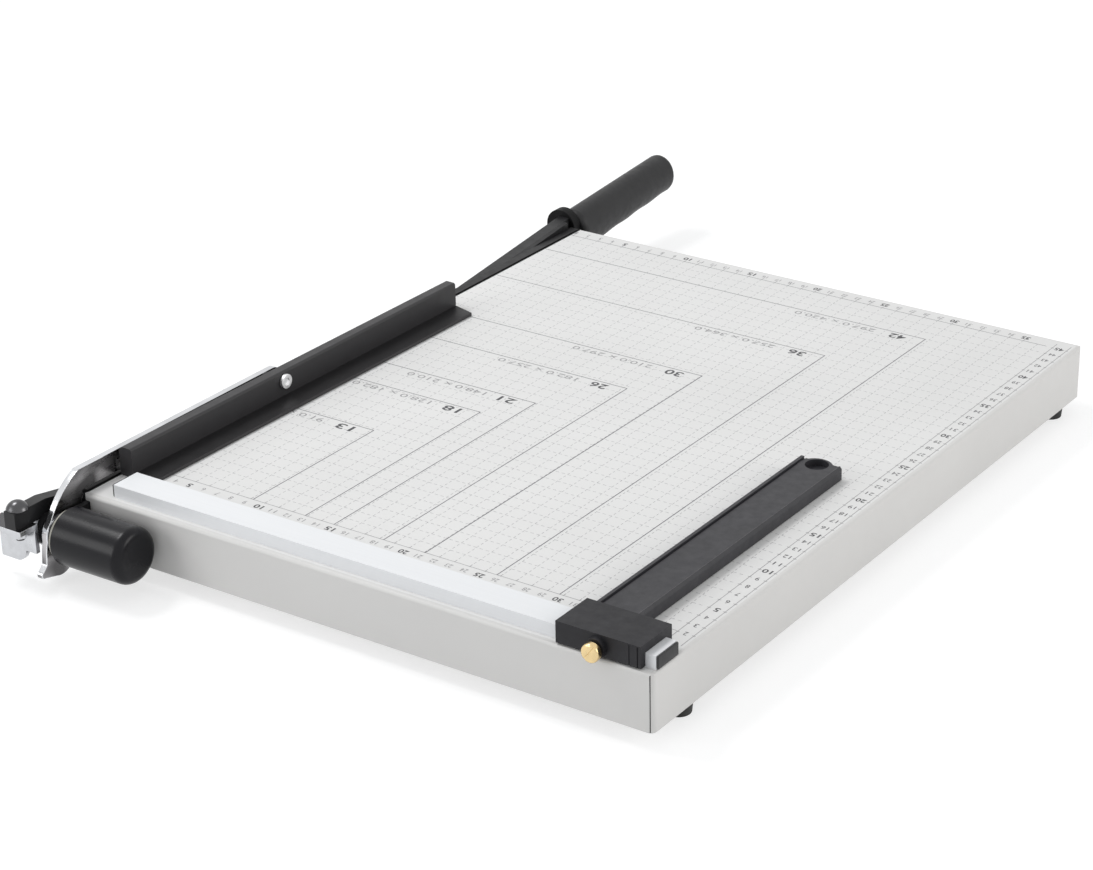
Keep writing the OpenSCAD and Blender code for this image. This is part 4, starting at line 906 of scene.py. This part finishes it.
class OBJECT_OT_cutter_pivot(bpy.types.Operator):
    """Makes the pivot's bolt, washers, spring and gloss cover"""

    bl_idname = "object.cutter_pivot"
    bl_label = "Pivot"

    # The cover's wall and the radius of its rounded end, and the spring's wire in metres
    COVER_WALL, COVER_ROUNDING = 3.0, 5.5
    WIRE_RADIUS = 0.001

    def cover(self, soft):
        """The spring's cap, turned with a rounded end."""
        low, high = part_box("spring_cover")
        long, radius = (high[0] - low[0]) / MM, (high[2] - low[2]) / 2 / MM
        wall, curve = self.COVER_WALL, self.COVER_ROUNDING
        profile = [(0.0, radius - wall), (0.0, radius - 0.5), (0.15, radius - 0.15), (0.5, radius)]
        profile.append((long - curve, radius - 0.25))
        for i in range(1, 9):
            angle = math.pi / 2 * i / 8
            inward = curve * (1 - math.cos(angle))
            profile.append((long - curve + curve * math.sin(angle), radius - 0.25 - inward))
        profile += [(long - 0.15, radius * 0.35), (long - 0.25, 0.0)]
        profile += [(long - wall, 0.0), (long - wall, radius - wall), (0.0, radius - wall)]
        mesh = lathed(profile, 96)
        mesh.transform(Matrix.Translation((low[0], (low[1] + high[1]) / 2, (low[2] + high[2]) / 2)))
        cap = new_piece("cover_cap", mesh, "table", "gloss_black", "spring_cover")
        soft_edges(cap, soft * 0.5, 1, 60)

    def spring(self):
        """The coil spring inside the cover."""
        low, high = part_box("pivot_spring")
        wire = self.WIRE_RADIUS
        values = {
            "Turns": 6.0,
            "Coil Radius": (high[2] - low[2]) / 2 - wire,
            "Length": high[0] - low[0] - 2 * wire,
            "Wire Radius": wire,
            "Material": finish("spring"),
        }
        coil = run_tree(store()["coil"], values)
        start = Matrix.Translation((low[0] + wire, (low[1] + high[1]) / 2, (low[2] + high[2]) / 2))
        coil.transform(start @ Matrix.Rotation(math.pi / 2, 4, "Y"))
        new_piece("spring_coil", coil, "table", None, "pivot_spring")

    def execute(self, context):
        soft = context.scene.cutter_sizes.edge_softness
        self.cover(soft)
        softened("thrust_washers", "thrust_rings", "table", "washer", soft)
        softened("lever_washer", "lever_ring", "table", "zinc", soft)
        softened("pivot_bolt", "pivot_bolt_steel", "blade_arm", "zinc", soft * 1.5, 3)
        softened("blade_washers", "blade_rings", "blade_arm", "zinc", soft * 0.5)
        softened("pivot_nut", "pivot_nut_steel", "blade_arm", "zinc", soft)
        softened("spring_washer", "spring_ring", "blade_arm", "zinc", soft * 0.5)
        self.spring()
        return {"FINISHED"}


class OBJECT_OT_cutter_arm(bpy.types.Operator):
    """Makes the blade, its steel arm and the zinc heel plate"""

    bl_idname = "object.cutter_arm"
    bl_label = "Blade arm"

    # The blade's bright ground faces lie right of this
    GROUND_X = -3.3

    def execute(self, context):
        soft = context.scene.cutter_sizes.edge_softness
        softened("arm_bar", "arm_steel", "blade_arm", "arm_paint", soft * 1.5, 3)
        # The blade's flanks are black, partly its paint and partly painted shade; its ground faces show bare steel
        blade = softened("cutting_blade", "blade_plate", "blade_arm", "knife_black_and_shade", soft * 0.4)
        ground = at(self.GROUND_X, 0, 0).x

        def is_ground(face):
            return face.normal.z < -0.5 or (face.normal.x < -0.9 and face.center.x > ground)

        refinish(blade, "blade_steel", is_ground)
        heel = softened("heel_plate", "heel_bracket", "blade_arm", "zinc", soft * 1.5, 3)
        # The heel's upward faces and its dome take a darker copy of the zinc as painted shade
        refinish(heel, "zinc_painted_shade", lambda face: face.normal.z > 0.5)
        softened("heel_bolt", "heel_dome", "blade_arm", "zinc_painted_shade", soft)
        softened("heel_nut", "heel_hexagon", "blade_arm", "zinc", soft)
        return {"FINISHED"}


class OBJECT_OT_cutter_handle(bpy.types.Operator):
    """Makes the moulded grip with its flange and end screw"""

    bl_idname = "object.cutter_handle"
    bl_label = "Handle"

    def execute(self, context):
        sizes = context.scene.cutter_sizes
        soft = sizes.plastic_softness
        softened("handle_grip", "grip_moulding", "blade_arm", "grip_plastic", soft, 3, 40)
        # The flange takes a darker copy of the grip plastic as painted shade
        softened("handle_flange", "grip_flange", "blade_arm", "flange_plastic_painted_shade", soft * 1.8, 4)
        softened("handle_screw", "grip_screw", "blade_arm", "zinc", sizes.edge_softness)
        return {"FINISHED"}


class OBJECT_OT_cutter_fasteners(bpy.types.Operator):
    """Gives the feet, screws and nuts their finish"""

    bl_idname = "object.cutter_fasteners"
    bl_label = "Feet and fasteners"

    # The bolts and nuts that keep their CAD shape, by body
    PLAIN = {
        "table": ("bed_knife_screws", "bed_knife_nuts", "hinge_lug_bolts", "hinge_lug_nuts", "foot_nuts"),
        "gauge": ("gauge_arm_screws",),
    }
    # Node, body, whether it stands up, head height and shank diameter of the screws with a cross or a socket
    SCREWS = (
        ("fence_screws", "table", True, 2.0, 3.0),
        ("foot_screws", "table", True, 2.4, 4.0),
        ("blade_screws", "blade_arm", False, 2.6, 5.0),
    )

    def execute(self, context):
        soft = context.scene.cutter_sizes.edge_softness
        softened("rubber_feet", "feet", "table", "rubber", soft * 1.5, 3)
        for body, nodes in self.PLAIN.items():
            for node in nodes:
                softened(node, node + "_finish", body, "zinc", soft * 0.5, 1)
        for node, body, upright, head_height, shank_diameter in self.SCREWS:
            places = loose_boxes(merged_copy(node))
            low, high = places[0]
            along = 2 if upright else 0
            radius, length = (high[1] - low[1]) / 2 / MM, (high[along] - low[along]) / MM
            template = screw_template(radius, head_height, shank_diameter / 2, length, upright)
            if upright:
                template.data.transform(Matrix.Rotation(-math.pi / 2, 4, "Y"))
            points = []
            for low, high in places:
                point = (low + high) / 2
                point[along] = low[along]
                points.append(point)
            made = run_tree(store()["copies"], {"Template": template, "Material": finish("zinc")}, points)
            bpy.data.objects.remove(template)
            soft_edges(new_piece(node + "_finish", made, body, None, node), soft * 0.3, 1, 50)
        return {"FINISHED"}


# Stage


def seen_directly(tree):
    """A socket that is 1 for the camera's rays and those off gloss or through glass, and else 0."""
    path = add_node(tree, "ShaderNodeLightPath").outputs
    seen = path["Is Camera Ray"]
    for kind in ("Is Glossy Ray", "Is Transmission Ray"):
        either = add_node(tree, "ShaderNodeMath", {0: seen, 1: path[kind]}, operation="ADD", use_clamp=True)
        seen = either.outputs[0]
    return seen


class OBJECT_OT_cutter_stage(bpy.types.Operator):
    """Makes the pale floor, the studio light and the camera"""

    bl_idname = "object.cutter_stage"
    bl_label = "Stage"

    # The camera's place and its right, down and forward directions, fitted to the picture's print and edges
    CAMERA_AT = (1053.451, -1047.061, 698.457)
    RIGHT = (0.840295, 0.542123, -0.002140)
    DOWN = (0.226989, -0.355414, -0.906729)
    AHEAD = (-0.492319, 0.761435, -0.421709)
    # Its focal length, the picture's width and where its axis meets the picture, in the picture's pixels
    FOCAL_PIXELS = 2862.151
    PICTURE_WIDTH = 1093.0
    MIDDLE_X = 666.0
    SENSOR_MM = 36
    # Half the floor's width in metres, its grey and glow as the camera sees it, and its grey for other light
    FLOOR_REACH = 6
    SEEN_GREY, SEEN_GLOW, PLAIN_GREY = 0.46, 0.66, 0.8
    # The world's colour and strength as light on the cutter
    SKY, SKY_STRENGTH = (0.96, 0.98, 1.0), 0.55
    # Name, place, size in metres, watts and colour of each lamp, and the point that all are turned to
    LAMPS = (
        ("key_box", (-0.9, -0.28, 1.5), (0.6, 0.48), 11.5, (1, 1, 1)),
        ("left_front", (-1.1, -1.7, 0.75), (1.0, 0.8), 8, (1, 1, 1)),
        ("right_side", (1.9, 0.5, 0.8), (1.2, 1.0), 12, (1, 0.98, 0.95)),
    )
    LIT_POINT = (0, 0, 0.03)

    def lamp(self, name, place, size, power, colour):
        data = bpy.data.lights.new(name, "AREA")
        data.shape = "RECTANGLE"
        data.size, data.size_y = size
        data.energy = power
        data.color = colour
        lamp = in_scene(name, data)
        lamp.location = place
        lamp.rotation_euler = (Vector(self.LIT_POINT) - Vector(place)).to_track_quat("-Z", "Y").to_euler()

    def floor(self):
        reach = self.FLOOR_REACH
        mesh = bpy.data.meshes.new("floor")
        corners = [(-reach, -reach, 0), (reach, -reach, 0), (reach, reach, 0), (-reach, reach, 0)]
        mesh.from_pydata(corners, [], [(0, 1, 2, 3)])
        ground = in_scene("floor", mesh)
        material = bpy.data.materials.new("pale_floor")
        material.use_nodes = True
        tree = material.node_tree
        tree.nodes.clear()
        matt = add_node(tree, "ShaderNodeBsdfDiffuse", {"Color": (*[self.SEEN_GREY] * 3, 1)}).outputs[0]
        glow = add_node(tree, "ShaderNodeEmission", {"Strength": self.SEEN_GLOW}).outputs[0]
        seen = add_node(tree, "ShaderNodeAddShader", {0: matt, 1: glow}).outputs[0]
        plain = add_node(tree, "ShaderNodeBsdfDiffuse", {"Color": (*[self.PLAIN_GREY] * 3, 1)}).outputs[0]
        choice = add_node(tree, "ShaderNodeMixShader", {0: seen_directly(tree), 1: plain, 2: seen})
        add_node(tree, "ShaderNodeOutputMaterial", {"Surface": choice.outputs[0]})
        mesh.materials.append(material)

    def world(self):
        world = bpy.data.worlds.new("studio")
        bpy.context.scene.world = world
        world.use_nodes = True
        tree = world.node_tree
        tree.nodes.clear()
        white = add_node(tree, "ShaderNodeBackground", {"Color": (1, 1, 1, 1)}).outputs[0]
        sky = {"Color": (*self.SKY, 1), "Strength": self.SKY_STRENGTH}
        sky = add_node(tree, "ShaderNodeBackground", sky).outputs[0]
        choice = add_node(tree, "ShaderNodeMixShader", {0: seen_directly(tree), 1: sky, 2: white})
        add_node(tree, "ShaderNodeOutputWorld", {"Surface": choice.outputs[0]})

    def camera(self):
        data = bpy.data.cameras.new("camera")
        data.sensor_width = self.SENSOR_MM
        data.sensor_fit = "HORIZONTAL"
        data.lens = self.SENSOR_MM * self.FOCAL_PIXELS / self.PICTURE_WIDTH
        data.shift_x = (self.PICTURE_WIDTH / 2 - self.MIDDLE_X) / self.PICTURE_WIDTH
        data.clip_start, data.clip_end = 0.05, 50
        camera = in_scene("camera", data)
        turn = Matrix((Vector(self.RIGHT), -Vector(self.DOWN), -Vector(self.AHEAD))).transposed()
        camera.matrix_world = Matrix.Translation(at(*self.CAMERA_AT)) @ turn.to_4x4()
        bpy.context.scene.camera = camera

    def execute(self, context):
        context.scene.view_settings.view_transform = "Standard"
        self.floor()
        self.world()
        self.camera()
        for lamp in self.LAMPS:
            self.lamp(*lamp)
        return {"FINISHED"}


class VIEW3D_PT_cutter(bpy.types.Panel):
    """Lists the pieces of the paper cutter"""

    bl_idname = "VIEW3D_PT_cutter"
    bl_label = "Paper cutter"
    bl_space_type = "VIEW_3D"
    bl_region_type = "UI"
    bl_category = "Paper cutter"

    def draw(self, context):
        for group in (context.scene.cutter_sizes, context.scene.cutter_colours):
            box = self.layout.box()
            for key in group.bl_rna.properties.keys():
                if key not in {"rna_type", "name"}:
                    box.prop(group, key)
        for operator in OPERATORS:
            self.layout.operator(operator.bl_idname)


OPERATORS = (
    OBJECT_OT_cutter_table,
    OBJECT_OT_cutter_print,
    OBJECT_OT_cutter_fence,
    OBJECT_OT_cutter_gauge,
    OBJECT_OT_cutter_thumbscrew,
    OBJECT_OT_cutter_guard,
    OBJECT_OT_cutter_pivot,
    OBJECT_OT_cutter_arm,
    OBJECT_OT_cutter_handle,
    OBJECT_OT_cutter_fasteners,
    OBJECT_OT_cutter_stage,
)
CLASSES = (CutterSizes, CutterColours) + OPERATORS + (VIEW3D_PT_cutter,)


def register():
    for cls in CLASSES:
        bpy.utils.register_class(cls)
    bpy.types.Scene.cutter_sizes = bpy.props.PointerProperty(type=CutterSizes)
    bpy.types.Scene.cutter_colours = bpy.props.PointerProperty(type=CutterColours)


def unregister():
    del bpy.types.Scene.cutter_colours
    del bpy.types.Scene.cutter_sizes
    for cls in reversed(CLASSES):
        bpy.utils.unregister_class(cls)


def main():
    """Builds the whole cutter in order."""
    register()
    for operator in OPERATORS:
        family, action = operator.bl_idname.split(".")
        result = getattr(getattr(bpy.ops, family), action)()
        if result != {"FINISHED"}:
            raise RuntimeError(operator.bl_label + " was not made")


if __name__ == "__main__":
    main()
